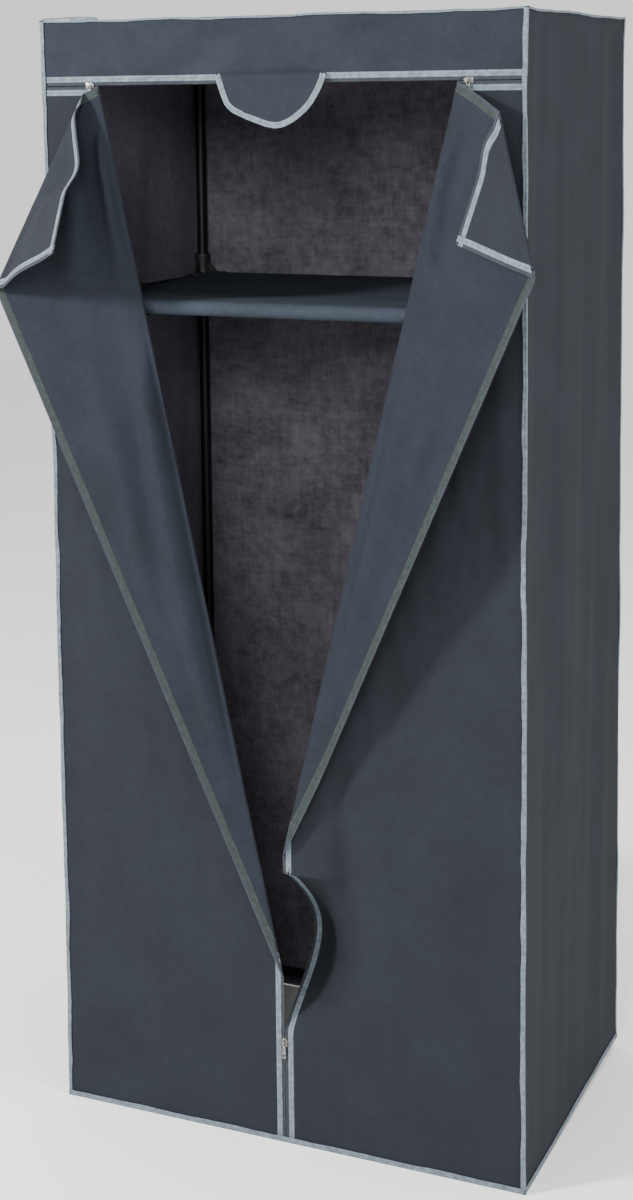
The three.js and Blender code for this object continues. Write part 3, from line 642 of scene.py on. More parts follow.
# The curl of the right door, and how far cloth may come in beside the shelf
CURL_DEPTH, CURL_REACH, CURL_LOW, CURL_HIGH = 0.105, 0.118, 0.160, 0.392
SHELF_CLEARANCE = 0.0045


def from_line(x, z, a, b):
    """Distance of each point of the closed door's plane from the line through a and b."""
    run = unit(b[[0, 2]] - a[[0, 2]])
    return np.abs((x - a[0]) * run[1] - (z - a[2]) * run[0])


def drape(x, z):
    """How far the door cloth stands off its plane, outwards, with every zip closed."""
    side_fade, line_fade = smoothstep(DOOR_EDGE - np.abs(x), 0.0, 0.05), 1.0
    for door in DOORS:
        near = smoothstep(from_line(x, z, door.fold.start, on_door(0, door.end)), 0.004, 0.09)
        corner = door.clear_of_corner(x, z, 0.004, 0.06)
        line_fade = line_fade * np.where(x * door.side >= 0, near * corner, 1.0)
    zip_fade = smoothstep(np.abs(x), 0.010, 0.075) * smoothstep(ZIP_Z - z, 0.010, 0.075)
    floor_fade = smoothstep(z, 0.01, 0.06)
    crease = np.exp(-((x - 0.086 - 0.012 * np.sin(7 * z)) / 0.017) ** 2) * bump(z, 0.13, 0.68)
    valley = -0.014 * crease * line_fade
    folds = 0.0035 * waves(x, z, 4, 6, 0.34, 0.05, 3.0) + 0.0006 * waves(x, z, 9, 5, 0.05, 0.018, 1.6)
    near_top = 1 - smoothstep(ZIP_Z - z, 0.004, 0.13)
    near_centre = 1 - smoothstep(np.abs(x), 0.004, 0.10)
    swung = (top_swing(x) * near_top + centre_swing(z) * near_centre) * swing_fade(x, z)
    beside_shelf = np.exp(-((z - SHELF_Z) / 0.055) ** 2)
    inward = (rolls(x, z) + lapel_lifts(x, z)) * zip_fade
    inward = inward / (1 + beside_shelf * inward / SHELF_CLEARANCE)
    return folds * side_fade * line_fade * zip_fade * floor_fade + valley + swung - inward


def swing_fade(x, z):
    """Still at the corners' fold lines, free away from them."""
    fade = 1.0
    for door in DOORS:
        fade = fade * np.where(x * door.side > 0, door.clear_of_corner(x, z, 0.001, 0.022), 1.0)
    return fade


def bump(value, low, high):
    """0 outside low to high, 1 in the middle, smooth at both ends."""
    share = np.clip((value - low) / (high - low), 0, 1)
    return np.sin(math.pi * share) ** 2


def top_swing(x):
    """The top zip's edge isn't straight: it swings in and out between the sliders' places."""
    left = 0.010 * bump(x, -0.258, -0.165) - 0.011 * bump(x, -0.180, -0.085)
    return left + 0.007 * bump(x, 0.084, 0.172)


def centre_swing(z):
    """The centre zip's edge swings too, where the doors' corners fold back."""
    return 0.005 * bump(z, 1.285, 1.440)


def beside_corner(door, x, z):
    """0 where the turned corner lies on its lapel, 1 clear of it."""
    if door.corner_fold.turn < math.radians(150):
        return 1.0
    away = np.stack([x - door.corner_top[0], 0 * x, z - door.corner_top[2]], axis=-1)
    d = away @ door.corner_fold.across
    mirrored = [x, z] - 2 * d * door.corner_fold.across[[0, 2]].reshape((2,) + (1,) * np.ndim(x))
    inside = np.minimum(door.side * mirrored[0], ZIP_Z - mirrored[1])
    return smoothstep(-inside, 0.002, 0.075)


def lapel_lifts(x, z):
    """Broad, uneven bellies of the turned-back cloth, always away from the door it lies on."""
    total = 0.0
    for door in DOORS:
        d, s, own = door.on_lapel(x, z)
        belly = 0.5 + 0.5 * np.clip(waves(d * 1.3, s, 90 + door.side, 6, 0.40, 0.07, 2.2), -1, 1)
        corner = door.clear_of_corner(x, z, 0.004, 0.06)
        lift = 0.013 * belly * smoothstep(d, 0.03, 0.10) * corner * (1 - smoothstep(s, 0.75, 1.15))
        lift = lift * beside_corner(door, x, z) * (1 if door.side > 0 else smoothstep(s, 0.15, 0.50))
        total = total + np.where(own, lift, 0.0)
    return total


# Rolls on each lapel: their place across it, their width, their height and how much they spread
ROLLS = {
    "left": ((0.026, 0.020, 0.0175, 0.9), (0.150, 0.030, 0.0070, 0.4)),
    "right": ((0.050, 0.030, 0.0190, 0.8), (0.175, 0.026, 0.0080, 0.5)),
}


def rolls(x, z):
    """Soft rolls of the turned-back cloth: they run down from the fold's top and open out."""
    total = 0.0
    for door in DOORS:
        d, s, own = door.on_lapel(x, z)
        for place, width, height, lean in ROLLS[door.hand]:
            open_out = 0.35 + 0.65 * smoothstep(s, 0.02, 0.45) * lean + 0.1 * np.sin(9 * s + place * 40)
            ridge = np.exp(-((d - place * open_out) / (width * open_out)) ** 2)
            fade = smoothstep(s, 0.02, 0.12) * (1 - smoothstep(s, 0.75, 1.15))
            fade = fade * beside_corner(door, x, z) * smoothstep(d, 0.0, 0.010)
            total = total + np.where(own, ridge * height * fade, 0.0)
    return total


def curl(x, z):
    """The right door's lower edge rolls in between the sliders' rest and the fold's foot."""
    share = np.clip((z - CURL_LOW) / (CURL_HIGH - CURL_LOW), 0, 1)
    rolled = CURL_DEPTH * np.sin(math.pi * share) ** (1.6 - 0.75 * share)
    return np.where(x > 0, rolled * (1 - smoothstep(np.abs(x), 0.006, CURL_REACH)), 0.0)


def curled(points):
    moved = points.copy()
    moved[:, 1] += curl(points[:, 0], points[:, 2])
    return moved


def door_sheet(x, z):
    """The closed door's cloth over places of its plane."""
    return np.stack([x, -WALL_Y - drape(x, z), z], axis=-1)


def flat_area(flat):
    """The area of a grid of flat places, each cell from its two diagonals."""
    first, second = flat[1:, 1:] - flat[:-1, :-1], flat[1:, :-1] - flat[:-1, 1:]
    return float(np.abs(first[..., 0] * second[..., 1] - first[..., 1] * second[..., 0]).sum() / 2)


def spread(line, outline, columns):
    """A grid whose rows run from a point of the fold line to the matching point of the outline."""
    return line[:, None] + (outline - line)[:, None] * np.asarray(columns)[None, :, None]


# Columns of a folded part, closest beside its fold, and how far its cloth stays inside the zip lines
FOLD_COLUMNS = np.array([
    0, 1, 2, 3, 4.5, 6, 8, 10, 13, 17, 22, 28, 36, 45, 55, 66, 78, 90, 102, 114, 126, 138, 150, 162, 174,
    186, 198, 210, 222, 234, 246, 260,
]) / 260
INSET = 0.006


def along(a, b, shares):
    return a + (b - a) * np.asarray(shares)[:, None]


def cut_shares(rows, kink):
    """Rows along a fold line whose outline has a kink: how many lie before it, and all their shares."""
    first = round(rows * kink)
    before = np.linspace(0, kink, first, endpoint=False)
    return first, np.concatenate([before, np.linspace(kink, 1, rows - first)])


def lapel_grid(door):
    """The lapel's cloth, closed: from the fold line to the corner's fold line and the centre zip."""
    kink = 0.185
    edge, top = door.side * INSET, ZIP_Z - INSET
    fold_top = np.array([door.fold_x(top), top])
    fold_foot = np.array([edge, door.fold_z(edge)])
    corner_top = np.array([door.corner_x(top), top])
    corner_edge = np.array([edge, door.corner_z(edge)])
    first, shares = cut_shares(150, kink)
    line = along(fold_top, fold_foot, shares)
    outline = np.concatenate([
        along(corner_top, corner_edge, shares[:first] / kink),
        along(corner_edge, fold_foot, (shares[first:] - kink) / (1 - kink)),
    ])
    return spread(line, outline, FOLD_COLUMNS)


def corner_grid(door):
    """The corner's cloth, closed: from its fold line to the top zip and the centre zip."""
    edge, top = door.side * INSET, ZIP_Z - INSET
    start, end = np.array([door.corner_x(top), top]), np.array([edge, door.corner_z(edge)])
    tip = np.array([edge, top])
    kink = np.dot(tip - start, end - start) / np.dot(end - start, end - start)
    first, shares = cut_shares(70, kink)
    outline = np.concatenate([
        along(start, tip, shares[:first] / kink), along(tip, end, (shares[first:] - kink) / (1 - kink)),
    ])
    return spread(along(start, end, shares), outline, FOLD_COLUMNS ** 0.9)


def standing_grid(door):
    """The standing part of a door: from the binding to the centre zip, then to the fold line."""
    kink = door.fold_z(door.side * INSET)
    rows = np.unique(np.concatenate([
        np.linspace(0.006, CURL_LOW, 14), np.linspace(CURL_LOW, CURL_HIGH, 40), [kink],
        np.linspace(CURL_HIGH, ZIP_Z - INSET, 95),
    ]))
    inner = np.maximum(INSET, np.abs(door.fold_x(np.maximum(rows, door.end))))
    shares = np.linspace(0, 1, 40)
    x = door.side * (DOOR_EDGE + (inner[:, None] - DOOR_EDGE) * shares)
    return np.stack([x, np.broadcast_to(rows[:, None], x.shape)], axis=-1)


def declare(flat):
    """Works out the size of a cloth's flat outline and its flat area; the values are not used."""
    width, length = sorted(np.ptp(flat.reshape(-1, 2), axis=0))
    area = min(flat_area(flat), width * length)


# Tapes, coils and stitches

# Offsets from the zip line, and thickness there, of the bound edge and of the zip tape in sight
BAND = np.array([0.005, 0.0054, 0.0062, 0.0075, 0.009, 0.0105, 0.0118, 0.0126, 0.013])
BAND_THICK = np.array([1.1, 1.7, 2.0, 1.8, 1.75, 1.8, 2.0, 1.7, 1.1]) * MM
REVEAL = np.array([0.0012, 0.0016, 0.003, 0.0045, 0.007])
REVEAL_THICK = np.array([0.5, 0.8, 0.6, 0.6, 0.6]) * MM
# Where the rows of stitches and the coil run, and how closely they repeat
STITCH_ROWS, STITCH_PITCH, STITCH_WOBBLE, STITCH_LIFT = (0.0066, 0.0114), 0.0036, 0.05, 0.00093
COIL_OFFSET, COIL_PITCH, COIL_RADIUS = 0.00118, 0.0019, 0.00078


class Run:
    """A stretch of closed zip edge: up the centre or along the top, between two cuts."""

    def __init__(self, way, side, start, end, pitch=0.005, below=True):
        self.way, self.side, self.start, self.end, self.pitch = way, side, start, end, pitch
        self.below = -1 if below else 1

    def cuts(self, offset):
        return (cut(offset) if callable(cut) else cut for cut in (self.start, self.end))

    def at(self, offset, pitch, least):
        """Places at offsets from the zip line; the cuts may slant with the offset."""
        start, end = self.cuts(0.009)
        share = np.linspace(0, 1, max(least, round(abs(end - start) / pitch)))
        if np.ndim(offset):
            share = share[:, None]
        start, end = self.cuts(offset)
        v = start + (end - start) * share
        if self.way == "up":
            return np.broadcast_arrays(self.side * offset, v)
        return np.broadcast_arrays(self.side * v, ZIP_Z + self.below * offset)

    def grid(self, offsets):
        return self.at(offsets, self.pitch, 4)

    def path(self, offset):
        return self.at(offset, 0.004, 3)


def trim(name, runs, body, shape=None):
    """The zip's own tape and the bound edge over it, on both faces of the cloth."""
    piece = Piece()
    for run, above in runs:
        for offsets, thick, slots in ((REVEAL, REVEAL_THICK, (2, 2)), (BAND, BAND_THICK + above, (0, 1))):
            x, z = run.grid(offsets)
            shell(piece, door_sheet(x, z), np.stack([x, z], axis=-1), OUT, thick, slots, OUT)
    return piece.make(name, [TAPE, TAPE_BACK, ZIP_TAPE], body, shape, smooth=70, recalculate=False)


def curve_of(name, paths):
    data = bpy.data.curves.new(name, "CURVE")
    data.dimensions = "3D"
    for points in paths:
        spline = data.splines.new("POLY")
        spline.points.add(len(points) - 1)
        spline.points.foreach_set("co", np.column_stack([points, np.ones(len(points))]).ravel())
    lines = bpy.data.objects.new(name, data)
    bpy.context.scene.collection.objects.link(lines)
    return lines


def repeated_along(unit_mesh, lines, pitch, finish, wobble):
    """Geometry Nodes: one small piece, repeated along curves at a pitch, made into a plain mesh."""
    tree = bpy.data.node_groups.new("repeated_along_a_seam", "GeometryNodeTree")
    face = tree.interface
    face.new_socket("Geometry", in_out="INPUT", socket_type="NodeSocketGeometry")
    inputs = {
        "Pitch": ("Float", pitch), "Piece": ("Object", unit_mesh), "Wobble": ("Float", wobble),
        "Finish": ("Material", finish),
    }
    sockets = {
        key: face.new_socket(key, in_out="INPUT", socket_type="NodeSocket" + kind)
        for key, (kind, _) in inputs.items()
    }
    face.new_socket("Geometry", in_out="OUTPUT", socket_type="NodeSocketGeometry")

    def add(kind, **settings):
        made = tree.nodes.new(kind)
        for key, value in settings.items():
            setattr(made, key, value)
        return made

    given, result = add("NodeGroupInput"), add("NodeGroupOutput")
    points = add("GeometryNodeCurveToPoints", mode="LENGTH")
    source = add("GeometryNodeObjectInfo")
    aim = add("FunctionNodeAlignRotationToVector", axis="X")
    chance = add("FunctionNodeRandomValue", data_type="FLOAT_VECTOR")
    chance.inputs["Seed"].default_value = 3
    least, most = (add("ShaderNodeVectorMath", operation="SCALE") for _ in range(2))
    least.inputs[0].default_value, most.inputs[0].default_value = (0.0, -1.0, -1.0), (0.0, 1.0, 1.0)
    turned = add("FunctionNodeRotateRotation", rotation_space="LOCAL")
    placed = add("GeometryNodeInstanceOnPoints")
    real, painted = add("GeometryNodeRealizeInstances"), add("GeometryNodeSetMaterial")
    for start, output, end, socket in (
        (given, "Geometry", points, "Curve"), (given, "Pitch", points, "Length"),
        (given, "Piece", source, "Object"), (points, "Tangent", aim, "Vector"),
        (given, "Wobble", least, "Scale"), (least, "Vector", chance, "Min"),
        (given, "Wobble", most, "Scale"), (most, "Vector", chance, "Max"),
        (aim, "Rotation", turned, "Rotation"), (chance, "Value", turned, "Rotate By"),
        (points, "Points", placed, "Points"), (source, "Geometry", placed, "Instance"),
        (turned, "Rotation", placed, "Rotation"), (placed, "Instances", real, "Geometry"),
        (real, "Geometry", painted, "Geometry"), (given, "Finish", painted, "Material"),
        (painted, "Geometry", result, "Geometry"),
    ):
        tree.links.new(start.outputs[output], end.inputs[socket])
    modifier = lines.modifiers.new("repeat", "NODES")
    modifier.node_group = tree
    for key, (_, value) in inputs.items():
        modifier[sockets[key].identifier] = value
    return baked(lines)


def baked(lines):
    """The plain mesh that a curve object makes, in place of the curve."""
    mesh = bpy.data.meshes.new_from_object(lines.evaluated_get(bpy.context.evaluated_depsgraph_get()))
    bpy.data.objects.remove(lines)
    return mesh


def points_of(mesh):
    points = np.empty(len(mesh.vertices) * 3)
    mesh.vertices.foreach_get("co", points)
    return points.reshape(-1, 3)


def repeated_piece(name, unit_mesh, paths, pitch, finish, body, shape=None, wobble=0.0):
    """Repeats of one small mesh along the closed cloth's paths, then shaped as the cloth is."""
    mesh = repeated_along(unit_mesh, curve_of(name + "_lines", paths), pitch, finish, wobble)
    points = points_of(mesh)
    if shape is not None:
        points = shape(points)
    mesh.vertices.foreach_set("co", (points + MIDDLE).ravel())
    mesh.update()
    mesh.shade_smooth()
    if not len(mesh.materials):
        mesh.materials.append(finish)
    return in_scene(name, mesh, body)


def loose(name, piece):
    """A small mesh that is only the pattern for repeats, kept out of the scene."""
    mesh = bpy.data.meshes.new(name)
    mesh.from_pydata(np.concatenate(piece.points).tolist(), [], piece.faces)
    weld_mesh(mesh, True)
    mesh.shade_smooth()
    return bpy.data.objects.new(name, mesh)


def thread_unit():
    """One stitch: a short thread that dips into the cloth at both ends."""
    half, fat = 0.00125, 0.00022
    x = np.array([-1, -0.86, -0.5, 0.5, 0.86, 1]) * half
    y = np.array([0.0004, 0.00012, 0, 0, 0.00012, 0.0004])
    ends = np.array([0.35, 0.9, 1, 1, 0.9, 0.35])[:, None, None]
    piece = Piece()
    bar(piece, np.column_stack([x, y, 0 * x]), (0, 1, 0), (0, 0, 1), circle(6, fat) * ends)
    return loose("stitch_pattern", piece)


def tooth_unit():
    """One turn of the zip's coil: a small closed loop across the edge of its tape."""
    turn = np.linspace(0, 2 * math.pi, 9, endpoint=False)
    out = np.column_stack([0 * turn, np.cos(turn), np.sin(turn)])
    path = out * COIL_RADIUS + np.outer(0.0004 * np.sin(turn), [1, 0, 0])
    piece = Piece()
    bar(piece, path, out, (1, 0, 0), circle(5, 0.00034), closed=True)
    return loose("coil_pattern", piece)


STITCH = thread_unit()
TOOTH = tooth_unit()


def seams(name, runs, body, shape=None):
    """Two rows of stitches along each bound edge: light thread outside, dark thread behind."""
    made = []
    for face, sign, finish in (("outer", 1, THREAD), ("inner", -1, DARK_THREAD)):
        paths = [
            door_sheet(*run.path(offset)) + OUT * sign * (STITCH_LIFT + above / 2)
            for run, above in runs for offset in STITCH_ROWS
        ]
        made.append(stitches_along(f"{name}_{face}", paths, finish, body, shape))
    return made


def stitches_along(name, paths, finish, body, shape=None):
    return repeated_piece(name, STITCH, paths, STITCH_PITCH, finish, body, shape, STITCH_WOBBLE)


def coil(name, runs, body, shape=None):
    paths = [door_sheet(*run.path(COIL_OFFSET)) for run, _ in runs]
    return repeated_piece(name, TOOTH, paths, COIL_PITCH, COIL, body, shape)


# Doors

# The height at which the centre zip's tapes start
HEM_TOP = 0.0080


def edge_runs(door):
    """The runs of bound zip edge on a door's three parts, each with the tape's extra thickness."""
    side, meet = door.side, 0.0012

    def up_fold(offset):
        return door.fold_z(side * offset)

    def over_fold(offset):
        return abs(door.fold_x(ZIP_Z - offset))

    def up_corner(offset):
        return door.corner_z(side * offset)

    def over_corner(offset):
        return abs(door.corner_x(ZIP_Z - offset))

    standing = [
        (Run("up", side, HEM_TOP, up_fold), 0.0),
        (Run("over", side, ZIP_END, over_fold), 0.0),
    ]
    lapel = [
        (Run("up", side, up_fold, up_corner, 0.004), 0.0),
        (Run("over", side, over_fold, over_corner, 0.002), 0.0),
    ]
    corner = [
        (Run("up", side, up_corner, ZIP_Z - meet, 0.0025), 0.0006),
        (Run("over", side, over_corner, meet, 0.0025), 0.0),
    ]
    return standing, lapel, corner


def dress_door(door):
    side, hand = door.side, door.hand
    standing, lapel, corner = edge_runs(door)
    on_door_cloth, on_lapel_cloth = f"door_{hand}_cloth", f"lapel_{hand}_cloth"
    parts = (
        ("door", standing_grid, standing, door.standing_shape, None, ROOT, "hung", "hem_binding"),
        ("lapel", lapel_grid, lapel, door.lapel_shape, door.blend_lapel, None, "folded", on_door_cloth),
        ("corner", corner_grid, corner, door.corner_shape, door.blend_corner, None, "folded", on_lapel_cloth),
    )
    for part, cut, runs, shape, bend, body, held, rests_on in parts:
        grid = cut(door)
        name = f"{part}_{hand}"
        cloth = Piece()
        shell(cloth, door_sheet(grid[..., 0], grid[..., 1]), grid, OUT)
        sheet = cloth.make(name + "_cloth", [OUTER, LINING], body, shape, recalculate=False)
        pieces = [trim(name + "_bound_edge", runs, body, shape), coil(name + "_zip_coil", runs, body, shape)]
        pieces += seams(name + "_edge_stitches", runs, body, shape)
        stands_for(sheet, name)
        for piece in [sheet] + pieces:
            if bend:
                bend(piece)
            elif side > 0:
                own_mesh(piece)
        declare(grid)


# Walls, top and valance


def hem_at(x, y):
    """The hem clears the floor towards the rear right corner, and rests near it everywhere else."""
    towards_right = 0.1 + 0.9 * smoothstep(x, HALF_W - 0.20, HALF_W - 0.02)
    return HEM_LIFT + HEM_RISE * towards_right * smoothstep(y + HALF_D, 0, 2 * HALF_D)


def upright_places(half_width, columns, hem):
    """Places of an upright panel, from its hem to the top: across and up."""
    across, share = np.meshgrid(np.linspace(-half_width, half_width, columns), np.linspace(0, 1, 150))
    low = hem(across) + 0.001
    return across, low + (WALL_TOP - low) * share


def panel_fade(from_edge, z, still):
    """0 at a panel's bound edges, 1 where the cloth hangs freely."""
    fade = smoothstep(from_edge, 0, 0.05) * smoothstep(z, still, still + 0.06)
    return fade * smoothstep(WALL_TOP - z, 0, 0.05)


def dress_panel(name, node, places, flat, facing, lining):
    piece = Piece()
    shell(piece, np.stack(places, axis=-1), np.stack(flat, axis=-1), facing)
    panel = piece.make(name, [OUTER, lining], recalculate=False)
    stands_for(panel, node)
    return panel


def dress_walls():
    for side, hand in ((-1, "left"), (1, "right")):
        y, z = upright_places(WALL_Y, 56, lambda y: hem_at(side * HALF_W, y))
        fade = panel_fade(WALL_Y - np.abs(y), z, 0.01)
        folds = waves(y, z, 21 + side, 7, 0.30, 0.045, 3.2)
        x = side * (WALL_X - (0.0022 + 0.0019 * folds) * fade)
        wall = dress_panel(f"side_wall_{hand}", f"cover_{hand}", (x, y, z), (y, z), (side, 0, 0), LIT_SIDE_LINING)
        declare(np.stack([y, z], axis=-1))
    x, z = upright_places(WALL_X, 80, lambda x: hem_at(x, WALL_Y))
    fade = panel_fade(WALL_X - np.abs(x), z, 0.02)
    crease = 0.0016 * np.exp(-((x + 0.125 + 0.01 * np.sin(4 * z)) / 0.006) ** 2)
    y = WALL_Y - (0.0022 + 0.0022 * waves(x, z, 33, 7, 0.35, 0.05, 2.6) + crease) * fade
    back = dress_panel("back_wall", "cover_back", (x, y, z), (x, z), (0, 1, 0), MOTTLED)
    declare(np.stack([x, z], axis=-1))


def dress_top():
    x, y = np.meshgrid(np.linspace(-WALL_X, WALL_X, 80), np.linspace(-WALL_Y, WALL_Y, 56))
    fade = smoothstep(WALL_X - np.abs(x), 0.01, 0.16) * smoothstep(WALL_Y - np.abs(y), 0.01, 0.14)
    z = WALL_TOP - fade * (0.0055 + 0.0012 * waves(x, y, 41, 6, 0.3, 0.05, 1.2))
    top = dress_panel("top_panel", "cover_top", (x, y, z), (x, y), (0, 0, 1), MOTTLED)
    declare(np.stack([x, y], axis=-1))


def dress_valance():
    x, z = np.meshgrid(np.linspace(-DOOR_EDGE, DOOR_EDGE, 90), np.linspace(ZIP_Z + INSET, WALL_TOP, 18))
    fade = smoothstep(DOOR_EDGE - np.abs(x), 0, 0.05) * smoothstep(z - ZIP_Z, 0.010, 0.03)
    fade = fade * smoothstep(WALL_TOP - z, 0, 0.03)
    bent = x - np.interp(z, [1.480, 1.500, 1.530, 1.556], [0.195, 0.155, 0.105, 0.075])
    crease = 0.0014 * np.exp(-(bent / 0.006) ** 2) * smoothstep(z, 1.484, 1.500)
    off = fade * (0.0018 + 0.0034 * waves(x, z, 55, 7, 0.26, 0.05, 1.2) + crease)
    off = off - top_swing(x) * swing_fade(x, z) * (1 - smoothstep(z - ZIP_Z, 0.014, 0.07))
    flat = np.stack([x, z], axis=-1)
    piece = Piece()
    shell(piece, np.stack([x, -WALL_Y + off, z], axis=-1), flat, OUT)
    band = piece.make("valance_cloth", [LIT_VALANCE_CLOTH, LINING], recalculate=False)
    runs = [(Run("over", 1, -ZIP_END, ZIP_END, 0.006, below=False), 0.0)]
    pieces = [trim("valance_bound_edge", runs, ROOT), coil("valance_zip_coil", runs, ROOT)]
    pieces += seams("valance_stitches", runs, ROOT)
    stands_for(band, "valance")
    declare(flat)


# Bindings

# Thickness of the doubled tape and the rounding of its edges
TAPE_THICK, TAPE_ROUND = 0.0014, 0.0006


def folded_tape(piece, path, across, up, widths, crumple):
    """An L of tape folded over an edge: one leg along across, the other along up."""
    wide, deep = widths
    t, r = TAPE_THICK, TAPE_ROUND
    profile = np.array([
        (0, r), (r * 0.3, r * 0.3), (r, 0), (wide * 0.45, 0), (wide * 0.55, r * 0.5), (wide * 0.65, 0),
        (wide - r, 0), (wide, r * 0.6), (wide, t - r * 0.4), (wide - r, t), (t + r, t), (t, t + r),
        (t, deep - r), (t - r * 0.4, deep), (r * 0.5, deep), (0, deep - r),
    ])
    bar(piece, path, across, up, profile[None] * (1 + crumple[:, None, None] * [1.0, 0.5]))


def wander(along_it, seed, longest, shortest):
    """Soft, irregular waves along one line, kept between -1 and 1."""
    return np.clip(waves(along_it, 0 * along_it, seed, 6, longest, shortest), -1, 1)


def tape_sway(along_it, length, seed, reach, longest=0.5, shortest=0.05):
    """How far a bound edge wanders from its straight line, always to one side."""
    ends = smoothstep(along_it, 0, 0.05) * smoothstep(length - along_it, 0, 0.05)
    return reach * ends * (0.5 + 0.5 * wander(along_it, seed, longest, shortest))


def dress_bindings():
    piece = Piece()
    for sx in (-1, 1):
        for sy in (-1, 1):
            z = np.linspace(hem_at(sx * HALF_W, sy * HALF_D) + 0.002, HEIGHT - 0.002, 220)
            seed = 110 + 10 * sx + sy
            sway = tape_sway(z, HEIGHT, seed, 0.0022)
            path = np.stack([sx * (HALF_W - sway), sy * (HALF_D - 0.3 * sway), z], axis=1)
            crumple = 0.16 * wander(z, seed + 3, 0.16, 0.02)
            folded_tape(piece, path, (-sx, 0, 0), (0, -sy, 0), (0.0058, 0.0042), crumple)
    upright = piece.make("corner_bindings", [TAPE], smooth=45)
    ring = Piece()
    corners = [(-1, -1), (1, -1), (1, 1), (-1, 1)]
    for turn, ((ax, ay), (bx, by)) in enumerate(zip(corners, corners[1:] + corners[:1])):
        shares = np.linspace(0, 1, 140)[:, None]
        a, b = np.array([ax * HALF_W, ay * HALF_D, 0]), np.array([bx * HALF_W, by * HALF_D, 0])
        length = np.linalg.norm(b - a)
        inward = -unit(np.array([ax + bx, ay + by, 0]))
        path = a + (b - a) * shares
        along_it = shares[:, 0] * length
        crumple = 0.18 * wander(along_it, 131 + turn, 0.16, 0.02)
        top, low = path + [0, 0, HEIGHT], path.copy()
        top[:, 2] -= tape_sway(along_it, length, 121 + turn, 0.0024, 0.3, 0.04)
        folded_tape(ring, top, inward, (0, 0, -1), (0.007, 0.0030), crumple)
        low[:, 2] = hem_at(low[:, 0], low[:, 1]) - HEM_LIFT + 0.0002
        folded_tape(ring, low, (0, 0, 1), inward, (0.0075, 0.003), 0.5 * crumple)
    stands_for(ring.make("top_and_hem_bindings", [TAPE], smooth=45), "hem_binding")
    dress_loop()


def dress_loop():
    """The end of the top binding, doubled into a short loop where it starts, at the front left corner."""
    stops = smooth_path([
        (-0.3485, -0.2285, 1.5590), (-0.3440, -0.2260, 1.5622), (-0.3300, -0.2220, 1.5618),
        (-0.3050, -0.2190, 1.5632), (-0.2800, -0.2180, 1.5630), (-0.2620, -0.2200, 1.5612),
        (-0.2700, -0.2240, 1.5598), (-0.3050, -0.2260, 1.5600),
    ], 60)
    step = directions(stops)
    across = np.cross(step, [0, 0, 1.0])
    across /= np.linalg.norm(across, axis=1, keepdims=True)
    h, t = 0.0006, 0.0012
    profile = [(-h, -t), (h, -t), (h * 1.3, 0), (h, t), (-h, t), (-h * 1.3, 0)]
    piece = Piece()
    bar(piece, stops, across, np.cross(across, step), profile)
    made = piece.make("top_binding_end_loop", [TAPE], smooth=45)


# Frame

# A connector's sleeves: their outer radius, bore and length, and half the thickness of the ribs between
SLEEVE, BORE, SLEEVE_LENGTH, HALF_RIB = 0.0113, 0.0083, 0.039, 0.0013


def own_box(node):
    """A solid's box in the cover's own axes."""
    return (np.array(corner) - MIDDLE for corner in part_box(node))


def dress_frame():
    ends = ("front_left", "front_right", "rear_left", "rear_right")
    ways = ("front", "rear", "left", "right")
    names = [f"{level}_post_{end}" for level in ("lower", "middle", "upper") for end in ends]
    names += [f"{level}_rail_{way}" for level in ("bottom", "shelf", "top") for way in ways]
    names.append("hanging_rail")
    r, bore, b = TUBE, TUBE - TUBE_WALL, 0.0005
    for name in names:
        low, high = own_box(name)
        size = high - low
        axis = int(size.argmax())
        half = size[axis] / 2
        profile = [(r - b, -half), (r, -half + b), (r, half - b), (r - b, half), (bore, half), (bore, -half)]
        piece = Piece()
        lathe(piece, profile, (low + high) / 2, np.eye(3)[axis])
        stands_for(piece.make(name + "_tube", [STEEL], smooth=40), name)


def sleeve(piece, place, direction):
    """A tube socket with a floor and a flared mouth."""
    outer, bore, length, flare, start = SLEEVE, BORE, SLEEVE_LENGTH, 0.0008, 0.012
    profile = [
        (0.0, -0.002), (outer - 0.001, -0.002), (outer, -0.001), (outer, length - 0.006),
        (outer + flare, length - 0.001), (outer + flare - 0.0006, length), (bore + 0.0004, length),
        (bore, length - 0.0006), (bore, start), (0.0, start),
    ]
    lathe(piece, profile, place, direction)


def dress_connectors():
    foot = [
        (0.0, 0.0), (0.013, 0.0), (0.0142, 0.0008), (0.015, 0.003), (0.015, 0.011), (0.0135, 0.014),
        (SLEEVE, 0.016), (SLEEVE, BOTTOM_Z), (0, BOTTOM_Z),
    ]
    quarter = np.linspace(0.15, math.pi / 2, 9)
    dome = [(0.0, 0.0125)] + [(0.0118 * math.sin(a), 0.0125 * math.cos(a)) for a in quarter]
    dome += [(0.0118, -0.002), (0, -0.002)]
    for level, z in (("foot", BOTTOM_Z), ("shelf", SHELF_Z), ("top", TOP_Z)):
        for sx, side in ((-1, "left"), (1, "right")):
            for sy, end in ((-1, "front"), (1, "rear")):
                name = f"{level}_connector_{end}_{side}"
                place = np.array([sx * POST_X, sy * POST_Y, z])
                ways = [np.array([-sx, 0, 0]), np.array([0, -sy, 0])]
                ways += [np.array([0, 0, 1])] if level != "top" else []
                ways += [np.array([0, 0, -1])] if level != "foot" else []
                piece = Piece()
                for way in ways:
                    sleeve(piece, place, way)
                if level == "foot":
                    lathe(piece, foot, place * [1, 1, 0], (0, 0, 1), 40)
                if level == "top":
                    lathe(piece, dome, place, (0, 0, 1))
                webs(piece, place, ways)
                stands_for(piece.make(name + "_moulding", [PLASTIC], smooth=40), name)


